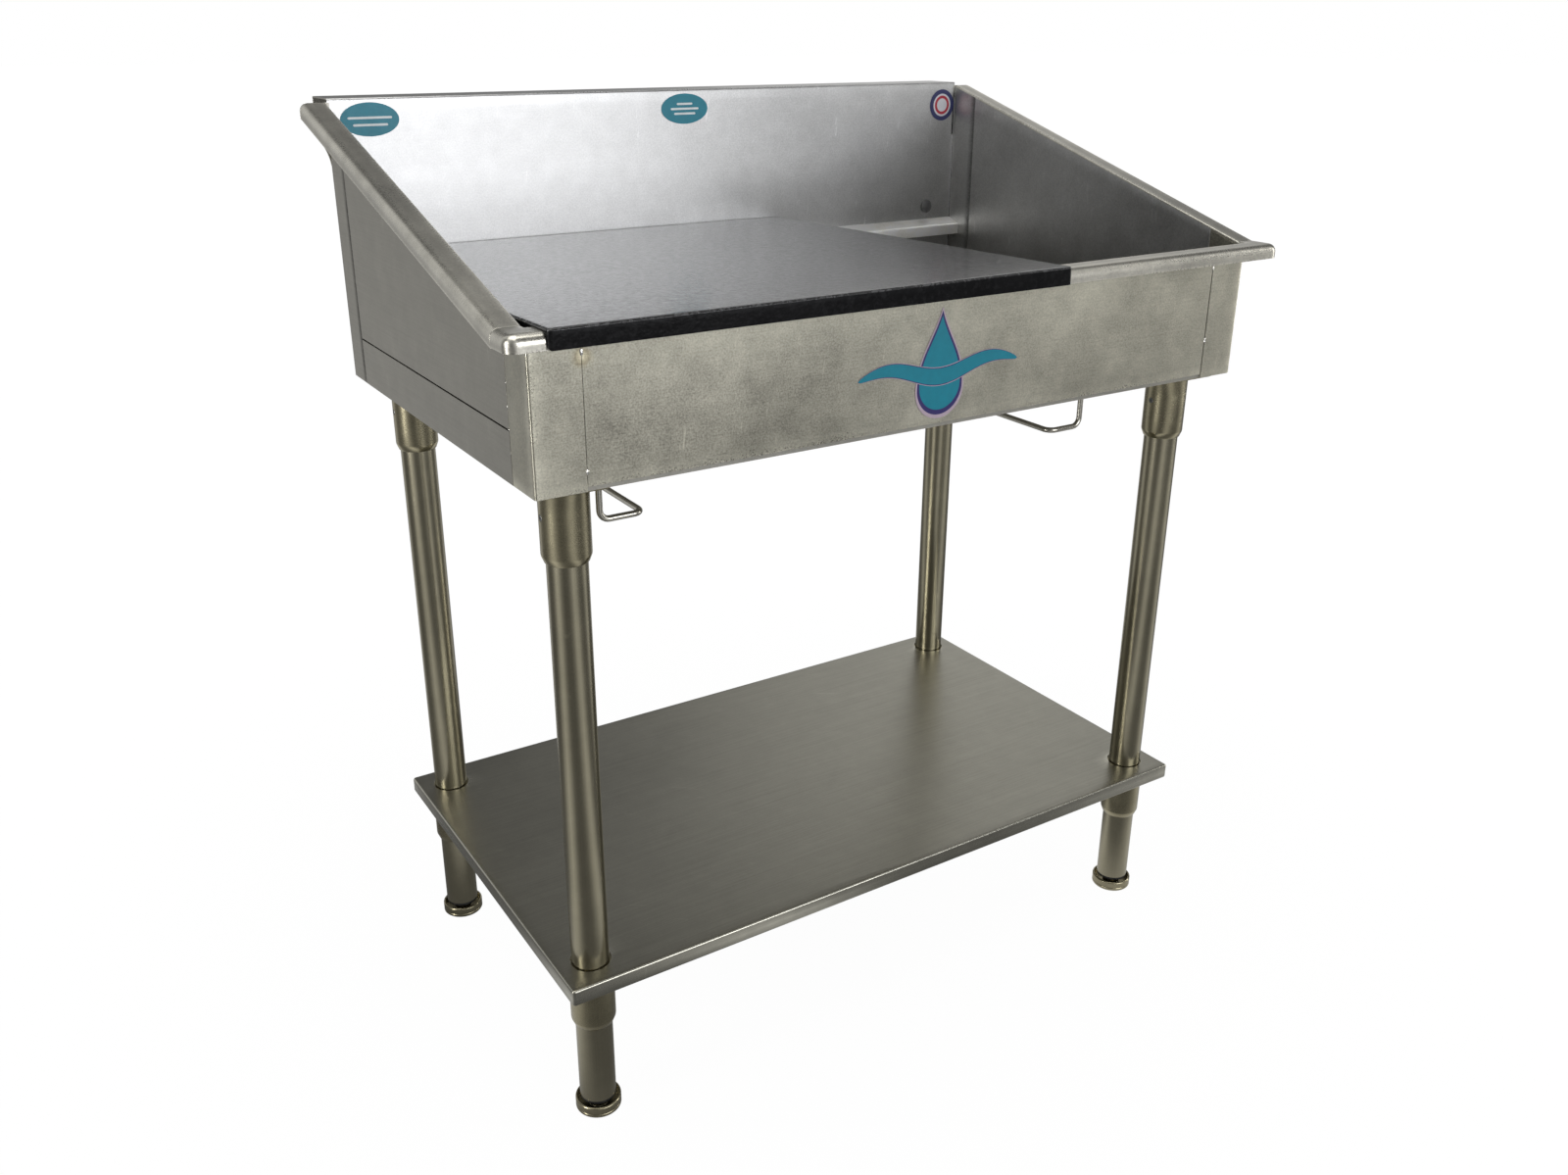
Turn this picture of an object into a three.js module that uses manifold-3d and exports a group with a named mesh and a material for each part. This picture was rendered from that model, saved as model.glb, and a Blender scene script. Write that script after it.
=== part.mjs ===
// Pet grooming bathtub: a folded stainless tub on four tube legs, with an undershelf, levelling feet,
// a removable platform over the left part of the basin and two rod rails that store it under the tub.
// Millimetres, +Z up, +Y towards the back. The origin is on the floor, at the centre of the footprint.

import * as THREE from 'three';
import { mergeVertices } from 'three/addons/utils/BufferGeometryUtils.js';
import Module from 'manifold-3d';

// ---------------------------------------------------------------- driving dimensions

// Sheet metal and the gap left at every welded or resting joint.
const SHEET = 1.6;
const GAP = 0.3;

// Tub, outside sizes and heights above the floor.
const TUB_LENGTH = 913;
const TUB_DEPTH = 551;
const FLOOR_HEIGHT = 755;
const BASIN_DEPTH = 157;
const BACK_RISE = 160;
const CORNER_LEG = 52;
const WING = 48;
const PAN_FLANGE = 52;
const APRON_LIFT = 4.5;

// Rolled rim round the front and sides, and the flat flange along the top of the back.
const RIM_WIDTH = 28;
const RIM_ROLL = 9;
const RIM_CORNER = 12;
const FRONT_DROP = 16;
const SIDE_DROP = 17;
const RIM_KINK = 9;
const SIDE_TOP_DROP = 4;
const BACK_FLANGE = 60;
const BACK_LIP = 15;
const EAR_HEIGHT = 68;
const EAR_WAIST = { out: 0.6, down: 0.42 };

// Floor pan's fall to the drain.
const PAN_PLATE_CLEARANCE = 4;
const PAN_FALL = 8;
const PAN_LAP = 20;
const PAN_JOIN = 5;
const PAN_STATIONS = 32;

// Drain and its plumbing.
const DRAIN_END_INSET = 154.5;
const DRAIN_THROAT_R = 20;
const DRAIN_WALL = 4;
const DRAIN_FLANGE_WIDTH = 21;
const DRAIN_FLANGE_EDGE = 2.2;
const DRAIN_FLANGE_TOP = 2.6;
const DRAIN_FLANGE_TAPER = 5;
const DRAIN_EASE = 1;
const DRAIN_LENGTH = 42;
const SEAT_MARGIN = 3;
const GASKET_THICKNESS = 3;
const GASKET_INSET = 3;
const LOCKNUT_HEIGHT = 9;
const LOCKNUT_WALL = 7;
const LUG_REACH = 12;
const LUG_PAIRS = 3;
const LUG_SHOULDER = 0.2;
const TAILPIECE_WALL = 1.5;
const TAILPIECE_STEP = 1;
const TAILPIECE_FLANGE = 3;
const TAILPIECE_FLANGE_THICKNESS = 2;
const TAILPIECE_DROP = 83;
const SLIP_NUT_WALL = 6;
const SLIP_NUT_LAP = 10;
const SLIP_NUT_FLOOR = 4;
const SLIP_NUT_SIDES = 6;

// Strainer: its seat in the drain's flange, its disc, its knob and its rings of holes.
const STRAINER_SEAT_RISE = 1.2;
const STRAINER_SEAT_INSET = 7;
const STRAINER_INSET = 9;
const STRAINER_THICKNESS = 1.4;
const KNOB_FOOT_R = 7;
const KNOB_R = 5;
const KNOB_SHOULDER = 9;
const KNOB_HEIGHT = 10;
const STRAINER_HOLE_R = 1.9;
const STRAINER_RINGS = [{ radius: 13, count: 6 }, { radius: 18.5, count: 10 }];

// Ledge angle on the back wall.
const LEDGE_BELOW_RIM = 31;
const LEDGE_DEPTH = 23;
const LEDGE_FALL = 7.5;
const LEDGE_FACE = 17;

// Removable platform, an inverted tray of coated sheet.
const PLATFORM_SHEET = 2.4;
const PLATFORM_LENGTH = 597;
const PLATFORM_SIDE_PLAY = 6;
const PLATFORM_NOSE_PLAY = 5;
const PLATFORM_REAR_PLAY = 1.5;
const PLATFORM_CORNER = 5;
const PLATFORM_LIP = 19;
const PLATFORM_FALL = 12.8;

// Storage rails, bent from round rod.
const ROD_R = 3.2;
const RAIL_BEND = 9;
const RAIL_DROP = 43;
const RAIL_STEP = 46;
const RAIL_FIRST_POST = 77.5;
const RAIL_STORE_PLAY = 25;
const RAIL_END_INSET = 34;

// Legs, sockets and set screws.
const LEG_R = 20.64;
const LEG_WALL = 1.6;
const LEG_END_INSET = 49.2;
const LEG_FRONT_INSET = 52;
const LEG_REAR_INSET = 60.5;
const SOCKET_PLAY = 0.36;
const SOCKET_WALL = 4;
const SOCKET_MOUTH = 0.8;
const SOCKET_TAPER = 7;
const UPPER_PLATE = 89;
const LOWER_PLATE = 66;
const PLATE_CUT = 17;
const PLATE_THICKNESS = 3;
const UPPER_SOCKET = 83.5;
const LOWER_SOCKET = 79;
const SCREW_R = 3.2;
const SCREW_DEPTH = 36;
const SCREW_RECESS_R = 1.76;
const SCREW_RECESS_DEPTH = 2.2;

// Undershelf.
const SHELF_HEIGHT = 201.3;
const SHELF_END_INSET = 8.8;
const SHELF_FRONT_INSET = 10;
const SHELF_REAR_INSET = 21.8;
const SHELF_EDGE = 19.6;
const SHELF_RETURN = 12;
const SHELF_CORNER = 4;
const SHELF_HOLE_PLAY = 1.9;

// Levelling feet.
const LEG_BOTTOM = 19;
const CUP_R = 26;
const CUP_HEIGHT = 14;
const CUP_WALL = 2.5;
const CUP_BASE = 3;
const CUP_FOOT_EASE = 1.5;
const CUP_LIP_EASE = 1.2;
const BOSS_R = 10;
const BOSS_HEIGHT = 11;
const STEM_R = 6.35;
const STEM_LENGTH = 58;
const STEM_CHAMFER = 1;
const THREAD_PLAY = 0.35;
const INSERT_FLANGE = 3.7;
const INSERT_LENGTH = 31;
const INSERT_FLANGE_INSET = 0.4;
const INSERT_TAPER = 0.8;

// Wall plug, labels and badge.
const PLUG_END_INSET = 46.5;
const PLUG_ABOVE_LEDGE = 18;
const PLUG_R = 9.5;
const PLUG_DOME = 5;
const PLUG_BRIM = 1;
const PLUG_DOME_STEPS = 5;
const PLUG_SHANK_R = 6;
const PLUG_BARB = { length: 3, tip: 0.5, shoulder: 1.6 };
const LABEL_THICKNESS = 0.4;
const LABEL_HALF_WIDTH = 34;
const LABEL_HALF_HEIGHT = 18.7;
const LABEL_DROP = 24;
const LEFT_LABEL_END_INSET = 49.5;
const CENTRE_LABEL_X = 4.4;
const BADGE_R = 21.5;
const BADGE_END_INSET = 25.5;
const BADGE_DROP = 31;
const GRAPHIC_X = 1;
const GRAPHIC_ABOVE_FLOOR = 42;
const DROP_R = 32;
const DROP_HEIGHT = 86;
const BAND_RISE = 20;
const BAND_HALF_WIDTH = 106;
const BAND_SWELL = 7;
const BAND_THICKNESS = 20;
const BAND_STATIONS = 20;
const BAND_HALF_WAVES = 3;
const DROP_SHOULDER = { neckOut: 0.35, neckUp: 0.62, bellyUp: 1.1 };

// ---------------------------------------------------------------- places worked out from them

const halfLength = TUB_LENGTH / 2;
const innerHalf = halfLength - SHEET;
const platformReach = RIM_WIDTH + PLATFORM_NOSE_PLAY;
const overallDepth = platformReach + TUB_DEPTH - SHEET + BACK_FLANGE;
const frontY = platformReach - overallDepth / 2;
const backY = frontY + TUB_DEPTH;
const backInnerY = backY - SHEET;
const middleY = (frontY + backY) / 2;

const rimHeight = FLOOR_HEIGHT + BASIN_DEPTH;
const backHeight = rimHeight + BACK_RISE;
const ledgeHeight = rimHeight - LEDGE_BELOW_RIM;
const kinkY = frontY + RIM_KINK;
const sideTop = backHeight - SIDE_TOP_DROP;
const sideSlope = (sideTop - rimHeight) / (backY - kinkY);
const cornerEndY = frontY + CORNER_LEG;
const wingStartY = backY - WING;

const panTop = FLOOR_HEIGHT + SHEET;
const seatTop = panTop - PAN_FALL;
const seatUnder = seatTop - SHEET;
const throatOuter = DRAIN_THROAT_R + DRAIN_WALL;
const drainHoleR = throatOuter + GAP;
const drainFlangeR = DRAIN_THROAT_R + DRAIN_FLANGE_WIDTH;
const drainX = halfLength - DRAIN_END_INSET;

const plugX = halfLength - PLUG_END_INSET;
const plugZ = ledgeHeight + PLUG_ABOVE_LEDGE;

const legX = halfLength - LEG_END_INSET;
const legRows = { front: frontY + LEG_FRONT_INSET, rear: backY - LEG_REAR_INSET };
const legColumns = { left: -legX, right: legX };
const socketBore = LEG_R + SOCKET_PLAY;
const socketR = socketBore + SOCKET_WALL;
const upperSocketTop = FLOOR_HEIGHT - GAP;
const shelfUnderside = SHELF_HEIGHT - SHEET;
const lowerSocketTop = shelfUnderside - GAP;

// The shelf's returned edge stops short of the nearest lower socket.
const shelfToLegs = [
  LEG_END_INSET - SHELF_END_INSET,
  LEG_FRONT_INSET - SHELF_FRONT_INSET,
  LEG_REAR_INSET - SHELF_REAR_INSET,
];
const shelfReturn = Math.min(SHELF_RETURN, Math.min(...shelfToLegs) - socketR - GAP);

// Height of the side rim's top surface at a place along the depth.
function rimTopAt(y) {
  return rimHeight + Math.max(0, y - kinkY) * sideSlope;
}

// ---------------------------------------------------------------- finishes

const finishes = {
  stainless: { color: 0x9a978c, roughness: 0.38, metalness: 1 },
  tube: { color: 0x8d887a, roughness: 0.32, metalness: 1 },
  coating: { color: 0x101011, roughness: 0.3, metalness: 0.1 },
  rubber: { color: 0x1b1b1b, roughness: 0.8, metalness: 0 },
  nylon: { color: 0x222222, roughness: 0.6, metalness: 0 },
  brass: { color: 0xb08d4a, roughness: 0.4, metalness: 1 },
  label: { color: 0x0f8ba6, roughness: 0.45, metalness: 0 },
  badge: { color: 0x2a3160, roughness: 0.45, metalness: 0 },
};

// ---------------------------------------------------------------- solids

const wasm = await Module();
wasm.setup();

// A closed geometry with only its positions, its shared vertices merged.
function bare(geometry) {
  geometry.deleteAttribute('normal');
  geometry.deleteAttribute('uv');
  return mergeVertices(geometry, 1e-4);
}

function solid(geometry) {
  const closed = bare(geometry);
  const vertProperties = new Float32Array(closed.getAttribute('position').array);
  const triVerts = new Uint32Array(closed.getIndex().array);
  return new wasm.Manifold(new wasm.Mesh({ numProp: 3, vertProperties, triVerts }));
}

function geometryOf(manifold) {
  const mesh = manifold.getMesh();
  const geometry = new THREE.BufferGeometry();
  geometry.setAttribute('position', new THREE.BufferAttribute(mesh.vertProperties, 3));
  geometry.setIndex(new THREE.BufferAttribute(mesh.triVerts, 1));
  return geometry;
}

function join(...pieces) {
  return pieces.reduce((whole, piece) => whole.add(piece));
}

// A box given by its low and high corners.
function block(x0, x1, y0, y1, z0, z1) {
  const geometry = new THREE.BoxGeometry(x1 - x0, y1 - y0, z1 - z0);
  geometry.translate((x0 + x1) / 2, (y0 + y1) / 2, (z0 + z1) / 2);
  return solid(geometry);
}

// An outline in X and Y, raised from z0 to z1.
function plate(shape, z0, z1, curveSegments = 6) {
  const geometry = new THREE.ExtrudeGeometry(shape, { depth: z1 - z0, bevelEnabled: false, curveSegments });
  geometry.translate(0, 0, z0);
  return geometry;
}

// An outline in Y and Z, extruded along X from x0 to x1.
function plateAcross(shape, x0, x1) {
  const geometry = plate(shape, 0, x1 - x0);
  const basis = new THREE.Matrix4().makeBasis(
    new THREE.Vector3(0, 1, 0),
    new THREE.Vector3(0, 0, 1),
    new THREE.Vector3(1, 0, 0),
  );
  geometry.applyMatrix4(basis);
  geometry.translate(x0, 0, 0);
  return geometry;
}

// An outline in X and Z, extruded along Y from y0 to y1.
function plateUpright(shape, y0, y1, curveSegments = 6) {
  const geometry = plate(shape, 0, y1 - y0, curveSegments);
  geometry.rotateX(Math.PI / 2);
  geometry.translate(0, y1, 0);
  return geometry;
}

function outline(points) {
  return new THREE.Shape(points.map(([x, y]) => new THREE.Vector2(x, y)));
}

function roundedRectangle(x0, x1, y0, y1, radius) {
  const shape = new THREE.Shape();
  shape.moveTo(x0 + radius, y0);
  shape.lineTo(x1 - radius, y0);
  shape.absarc(x1 - radius, y0 + radius, radius, -Math.PI / 2, 0, false);
  shape.lineTo(x1, y1 - radius);
  shape.absarc(x1 - radius, y1 - radius, radius, 0, Math.PI / 2, false);
  shape.lineTo(x0 + radius, y1);
  shape.absarc(x0 + radius, y1 - radius, radius, Math.PI / 2, Math.PI, false);
  shape.lineTo(x0, y0 + radius);
  shape.absarc(x0 + radius, y0 + radius, radius, Math.PI, Math.PI * 1.5, false);
  return shape;
}

function ellipse(halfWidth, halfHeight) {
  return new THREE.Shape().absellipse(0, 0, halfWidth, halfHeight, 0, Math.PI * 2, false, 0);
}

// A turned piece: radius and height pairs, standing along Z.
function turned(points, sides = 20) {
  const geometry = new THREE.LatheGeometry(points.map(([r, z]) => new THREE.Vector2(r, z)), sides);
  geometry.rotateX(Math.PI / 2);
  return geometry;
}

// A round bar or hole along Z.
function round(radius, z0, z1, sides = 20) {
  return solid(turned([[0, z0], [radius, z0], [radius, z1], [0, z1]], sides));
}

// The same geometry on the other side of the tub's centre plane.
function mirrored(geometry) {
  const copy = geometry.clone();
  copy.scale(-1, 1, 1);
  const index = copy.getIndex();
  for (let i = 0; i < index.count; i += 3) {
    const first = index.getX(i);
    index.setX(i, index.getX(i + 1));
    index.setX(i + 1, first);
  }
  return copy;
}

// ---------------------------------------------------------------- the assembly

const group = new THREE.Group();

function add(name, shape, finish, place = [0, 0, 0]) {
  const material = new THREE.MeshStandardMaterial(finishes[finish]);
  const geometry = shape.isBufferGeometry ? bare(shape) : geometryOf(shape);
  geometry.computeVertexNormals();
  const mesh = new THREE.Mesh(geometry, material);
  mesh.name = name;
  mesh.position.set(...place);
  group.add(mesh);
  return mesh;
}

// ---------------------------------------------------------------- tub

// Block with rolled top edges that fills the front rim, less an inset all round.
function rimBlock(inset) {
  const reach = halfLength + RIM_WIDTH - inset;
  const radius = RIM_CORNER - inset;
  const roll = RIM_ROLL - inset;
  const far = kinkY + 3 * RIM_CORNER;
  const shape = roundedRectangle(-reach, reach, frontY - RIM_WIDTH + inset, far, radius);
  const low = rimHeight - FRONT_DROP - 2 * RIM_ROLL;
  const geometry = new THREE.ExtrudeGeometry(shape, {
    depth: rimHeight - inset - roll - low,
    bevelThickness: roll,
    bevelSize: roll,
    bevelOffset: -roll,
    bevelSegments: 4,
    curveSegments: 5,
  });
  geometry.translate(0, 0, low);
  return solid(geometry);
}

// Front rim: a folded shell round the front and both front corners, open underneath.
function frontRim() {
  const reach = halfLength + RIM_WIDTH + 1;
  const low = rimHeight - FRONT_DROP;
  const keep = block(-reach, reach, frontY - RIM_WIDTH - 1, kinkY, low, rimHeight + 1);
  const basin = block(-innerHalf, innerHalf, frontY + SHEET, kinkY + 1, low - 1, rimHeight + 1);
  return rimBlock(0).subtract(rimBlock(SHEET)).intersect(keep).subtract(basin);
}

const seamX = halfLength - CORNER_LEG;
const underRim = rimHeight - SHEET - GAP;

function frontPanel() {
  const wall = block(-seamX, seamX, frontY, frontY + SHEET, FLOOR_HEIGHT + APRON_LIFT, rimHeight - SHEET / 2);
  return frontRim().add(wall);
}

// Folded angle that closes a front corner below the rim.
function cornerAngle() {
  const front = block(seamX + GAP, halfLength, frontY, frontY + SHEET, FLOOR_HEIGHT, underRim);
  const side = outline([
    [frontY, FLOOR_HEIGHT],
    [cornerEndY, FLOOR_HEIGHT],
    [cornerEndY, rimTopAt(cornerEndY) - SHEET - GAP],
    [kinkY, underRim],
    [frontY, underRim],
  ]);
  return geometryOf(front.add(solid(plateAcross(side, innerHalf, halfLength))));
}

// Section of the sloping side rim: out, round the roll and down the lip.
function sideRimSection() {
  const centre = RIM_WIDTH - RIM_ROLL;
  const shape = new THREE.Shape();
  shape.moveTo(-SHEET, -SHEET);
  shape.lineTo(centre, -SHEET);
  shape.absarc(centre, -RIM_ROLL, RIM_ROLL - SHEET, Math.PI / 2, 0, true);
  shape.lineTo(RIM_WIDTH - SHEET, -SIDE_DROP);
  shape.lineTo(RIM_WIDTH, -SIDE_DROP);
  shape.lineTo(RIM_WIDTH, -RIM_ROLL);
  shape.absarc(centre, -RIM_ROLL, RIM_ROLL, 0, Math.PI / 2, false);
  shape.lineTo(-SHEET, 0);
  return shape;
}

function sidePanel() {
  const start = kinkY + GAP;
  const end = backInnerY - GAP;
  const rim = plateUpright(sideRimSection(), start, end, 4);
  rim.applyMatrix4(new THREE.Matrix4().makeShear(0, 0, 0, sideSlope, 0, 0));
  rim.translate(halfLength, 0, rimHeight - kinkY * sideSlope);
  const low = FLOOR_HEIGHT + PAN_FLANGE + GAP;
  const wall = outline([
    [cornerEndY + GAP, low],
    [wingStartY - GAP, low],
    [wingStartY - GAP, rimTopAt(wingStartY - GAP) - SHEET / 2],
    [cornerEndY + GAP, rimTopAt(cornerEndY + GAP) - SHEET / 2],
  ]);
  return geometryOf(solid(rim).add(solid(plateAcross(wall, innerHalf, halfLength))));
}

// Back wall's outline, with a gusset ear at each end that closes the side rim.
function backOutline() {
  const half = [
    [halfLength, FLOOR_HEIGHT],
    [halfLength, sideTop - EAR_HEIGHT],
    [halfLength + RIM_WIDTH * EAR_WAIST.out, sideTop - EAR_HEIGHT * EAR_WAIST.down],
    [halfLength + RIM_WIDTH - SHEET, sideTop - SIDE_DROP],
    [halfLength + RIM_WIDTH, sideTop - RIM_ROLL],
    [halfLength + RIM_WIDTH - RIM_ROLL, sideTop],
    [halfLength, sideTop],
    [halfLength, backHeight],
  ];
  const otherHalf = half.map(([x, z]) => [-x, z]).reverse();
  return outline([...half, ...otherHalf]);
}

function backPanel() {
  const wall = solid(plateUpright(backOutline(), backInnerY, backY));
  const flangeEnd = backInnerY + BACK_FLANGE;
  const flange = block(-halfLength, halfLength, backInnerY, flangeEnd, backHeight - SHEET, backHeight);
  const lip = block(-halfLength, halfLength, flangeEnd - SHEET, flangeEnd, backHeight - BACK_LIP, backHeight);
  const wingSide = outline([
    [wingStartY, FLOOR_HEIGHT],
    [backY, FLOOR_HEIGHT],
    [backY, rimTopAt(backY) - SHEET - GAP],
    [wingStartY, rimTopAt(wingStartY) - SHEET - GAP],
  ]);
  const wing = plateAcross(wingSide, innerHalf, halfLength);
  const otherWing = mirrored(bare(wing.clone()));
  const holeR = PLUG_SHANK_R + GAP;
  const hole = turned([[0, -SHEET], [holeR, -SHEET], [holeR, SHEET], [0, SHEET]], 16);
  hole.rotateX(Math.PI / 2);
  hole.translate(plugX, backInnerY + SHEET / 2, plugZ);
  return join(wall, flange, lip, solid(wing), solid(otherWing)).subtract(solid(hole));
}

// Circle about a centre, as points at equal angles.
function circleRing(centre, radius, z, count) {
  return Array.from({ length: count }, (_, i) => {
    const angle = (i / count) * Math.PI * 2;
    return new THREE.Vector3(centre.x + radius * Math.cos(angle), centre.y + radius * Math.sin(angle), z);
  });
}

// Rectangle about a centre that lies inside it, cut by the same rays, with its corners kept.
function rectangleRing(centre, x0, x1, y0, y1, z, count) {
  const ring = circleRing(centre, 1, z, count).map((point) => {
    const dx = point.x - centre.x;
    const dy = point.y - centre.y;
    const alongX = (dx > 0 ? x1 - centre.x : centre.x - x0) / Math.abs(dx);
    const alongY = (dy > 0 ? y1 - centre.y : centre.y - y0) / Math.abs(dy);
    const reach = Math.min(alongX, alongY);
    return new THREE.Vector3(centre.x + dx * reach, centre.y + dy * reach, z);
  });
  for (const [x, y] of [[x0, y0], [x1, y0], [x1, y1], [x0, y1]]) {
    const turn = Math.atan2(y - centre.y, x - centre.x) / (Math.PI * 2);
    const nearest = Math.round((turn + 1) * count) % count;
    ring[nearest].set(x, y, z);
  }
  return ring;
}

// Closed body whose skin runs from ring to ring and back to the first one.
function ringLoft(rings) {
  const count = rings[0].length;
  const positions = rings.flat().flatMap((point) => point.toArray());
  const index = [];
  rings.forEach((ring, r) => {
    const next = (r + 1) % rings.length;
    ring.forEach((point, i) => {
      const j = (i + 1) % count;
      index.push(r * count + i, r * count + j, next * count + j);
      index.push(r * count + i, next * count + j, next * count + i);
    });
  });
  const geometry = new THREE.BufferGeometry();
  geometry.setAttribute('position', new THREE.Float32BufferAttribute(positions, 3));
  geometry.setIndex(index);
  return geometry;
}

// Floor pan: flat margin, four falls to the drain's seat, flanges up the sides and laps up the ends.
function floorPan() {
  const edge = innerHalf - GAP;
  const front = frontY + SHEET + GAP;
  const back = backInnerY - GAP;
  const drain = { x: drainX, y: middleY };
  const reach = legX - UPPER_PLATE / 2 - PAN_PLATE_CLEARANCE;
  const flat = (z) => rectangleRing(drain, -edge, edge, front, back, z, PAN_STATIONS);
  const clear = RAIL_END_INSET + 3 * ROD_R;
  const margin = (z) => rectangleRing(drain, -reach, reach, frontY + clear, backY - clear, z, PAN_STATIONS);
  const seat = (z) => circleRing(drain, drainFlangeR + SEAT_MARGIN, z, PAN_STATIONS);
  const throat = (z) => circleRing(drain, DRAIN_THROAT_R, z, PAN_STATIONS);
  const sheet = ringLoft([
    flat(panTop), margin(panTop), seat(seatTop), throat(seatTop),
    throat(seatUnder), seat(seatUnder), margin(FLOOR_HEIGHT), flat(FLOOR_HEIGHT),
  ]);
  const hole = round(drainHoleR, seatUnder - 1, seatTop + 1, 24).translate([drain.x, drain.y, 0]);
  const flangeStart = cornerEndY + GAP;
  const flangeEnd = wingStartY - GAP;
  const flangeTop = FLOOR_HEIGHT + PAN_FLANGE;
  const lapTop = FLOOR_HEIGHT + PAN_LAP;
  return join(
    solid(sheet),
    block(-halfLength, SHEET - halfLength, flangeStart, flangeEnd, FLOOR_HEIGHT, flangeTop),
    block(-halfLength, PAN_JOIN - edge, flangeStart, flangeEnd, FLOOR_HEIGHT, panTop),
    block(halfLength - SHEET, halfLength, flangeStart, flangeEnd, FLOOR_HEIGHT, flangeTop),
    block(edge - PAN_JOIN, halfLength, flangeStart, flangeEnd, FLOOR_HEIGHT, panTop),
    block(-edge, edge, front, front + SHEET, FLOOR_HEIGHT, lapTop),
    block(-edge, edge, back - SHEET, back, FLOOR_HEIGHT, lapTop),
  ).subtract(hole);
}

// Ledge angle: wall flange, sloping top and front face, welded along the back wall.
function ledge() {
  const wall = backInnerY - GAP;
  const nose = wall - LEDGE_DEPTH;
  const noseTop = ledgeHeight - LEDGE_FALL;
  const section = outline([
    [wall, ledgeHeight],
    [nose, noseTop],
    [nose, noseTop - LEDGE_FACE],
    [nose + SHEET, noseTop - LEDGE_FACE],
    [nose + SHEET, noseTop - SHEET],
    [wall - SHEET, ledgeHeight - SHEET],
    [wall - SHEET, ledgeHeight - LEDGE_FACE],
    [wall, ledgeHeight - LEDGE_FACE],
  ]);
  const reach = innerHalf - GAP;
  return plateAcross(section, -reach, reach);
}

add('front_panel', frontPanel(), 'stainless');
add('front_right_corner', cornerAngle(), 'stainless');
add('front_left_corner', mirrored(cornerAngle()), 'stainless');
add('right_side_panel', sidePanel(), 'stainless');
add('left_side_panel', mirrored(sidePanel()), 'stainless');
add('back_panel', backPanel(), 'stainless');
add('floor_pan', floorPan(), 'stainless');
add('platform_ledge', ledge(), 'stainless');

// ---------------------------------------------------------------- drain

const gasketTop = seatUnder - GAP;
const locknutTop = gasketTop - GASKET_THICKNESS - GAP;
const throatEnd = seatTop - DRAIN_LENGTH;
const strainerSeat = seatTop + STRAINER_SEAT_RISE;

const drainBody = turned([
  [DRAIN_THROAT_R, throatEnd],
  [throatOuter, throatEnd],
  [throatOuter, seatTop + GAP],
  [drainFlangeR, seatTop + GAP],
  [drainFlangeR - DRAIN_EASE, seatTop + DRAIN_FLANGE_EDGE],
  [drainFlangeR - DRAIN_FLANGE_TAPER, seatTop + DRAIN_FLANGE_TOP],
  [drainFlangeR - STRAINER_SEAT_INSET, strainerSeat],
  [DRAIN_THROAT_R + DRAIN_EASE, strainerSeat],
  [DRAIN_THROAT_R, strainerSeat - DRAIN_EASE],
  [DRAIN_THROAT_R, throatEnd],
], 24);

const gasket = turned([
  [throatOuter + GAP, gasketTop - GASKET_THICKNESS],
  [drainFlangeR - GASKET_INSET, gasketTop - GASKET_THICKNESS],
  [drainFlangeR - GASKET_INSET, gasketTop],
  [throatOuter + GAP, gasketTop],
  [throatOuter + GAP, gasketTop - GASKET_THICKNESS],
], 24);

// Locknut: a plain ring with pairs of lugs across it.
function locknut() {
  const low = locknutTop - LOCKNUT_HEIGHT;
  const reach = throatOuter + LUG_REACH;
  const half = LOCKNUT_HEIGHT / 2;
  const ring = round(throatOuter + LOCKNUT_WALL, low, locknutTop, 24);
  const lug = block(-reach, reach, -half, half, low, locknutTop - LOCKNUT_HEIGHT * LUG_SHOULDER);
  const lugs = Array.from({ length: LUG_PAIRS }, (_, i) => lug.rotate([0, 0, (i * 180) / LUG_PAIRS]));
  return join(ring, ...lugs).subtract(round(throatOuter + GAP, low - 1, locknutTop + 1, 24));
}

const tailpieceR = DRAIN_THROAT_R - TAILPIECE_STEP;
const tailpieceBore = tailpieceR - TAILPIECE_WALL;
const tailpieceEnd = FLOOR_HEIGHT - TAILPIECE_DROP;
const tailpieceTop = throatEnd - GAP;
const flangeUnder = tailpieceTop - TAILPIECE_FLANGE_THICKNESS;
const tailpiece = turned([
  [tailpieceBore, tailpieceEnd],
  [tailpieceR, tailpieceEnd],
  [tailpieceR, flangeUnder],
  [tailpieceR + TAILPIECE_FLANGE, flangeUnder],
  [tailpieceR + TAILPIECE_FLANGE, tailpieceTop],
  [tailpieceBore, tailpieceTop],
  [tailpieceBore, tailpieceEnd],
]);

// Slip nut: grips the throat's thread above and the tailpiece's flange below.
function slipNut() {
  const top = throatEnd + SLIP_NUT_LAP;
  const shelf = flangeUnder - GAP;
  const low = shelf - SLIP_NUT_FLOOR;
  const ring = round(throatOuter + SLIP_NUT_WALL, low, top, SLIP_NUT_SIDES);
  const threadBore = round(throatOuter + GAP, shelf, top + 1, 24);
  const tubeBore = round(tailpieceR + GAP, low - 1, tailpieceTop, 24);
  return ring.subtract(threadBore).subtract(tubeBore);
}

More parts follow.
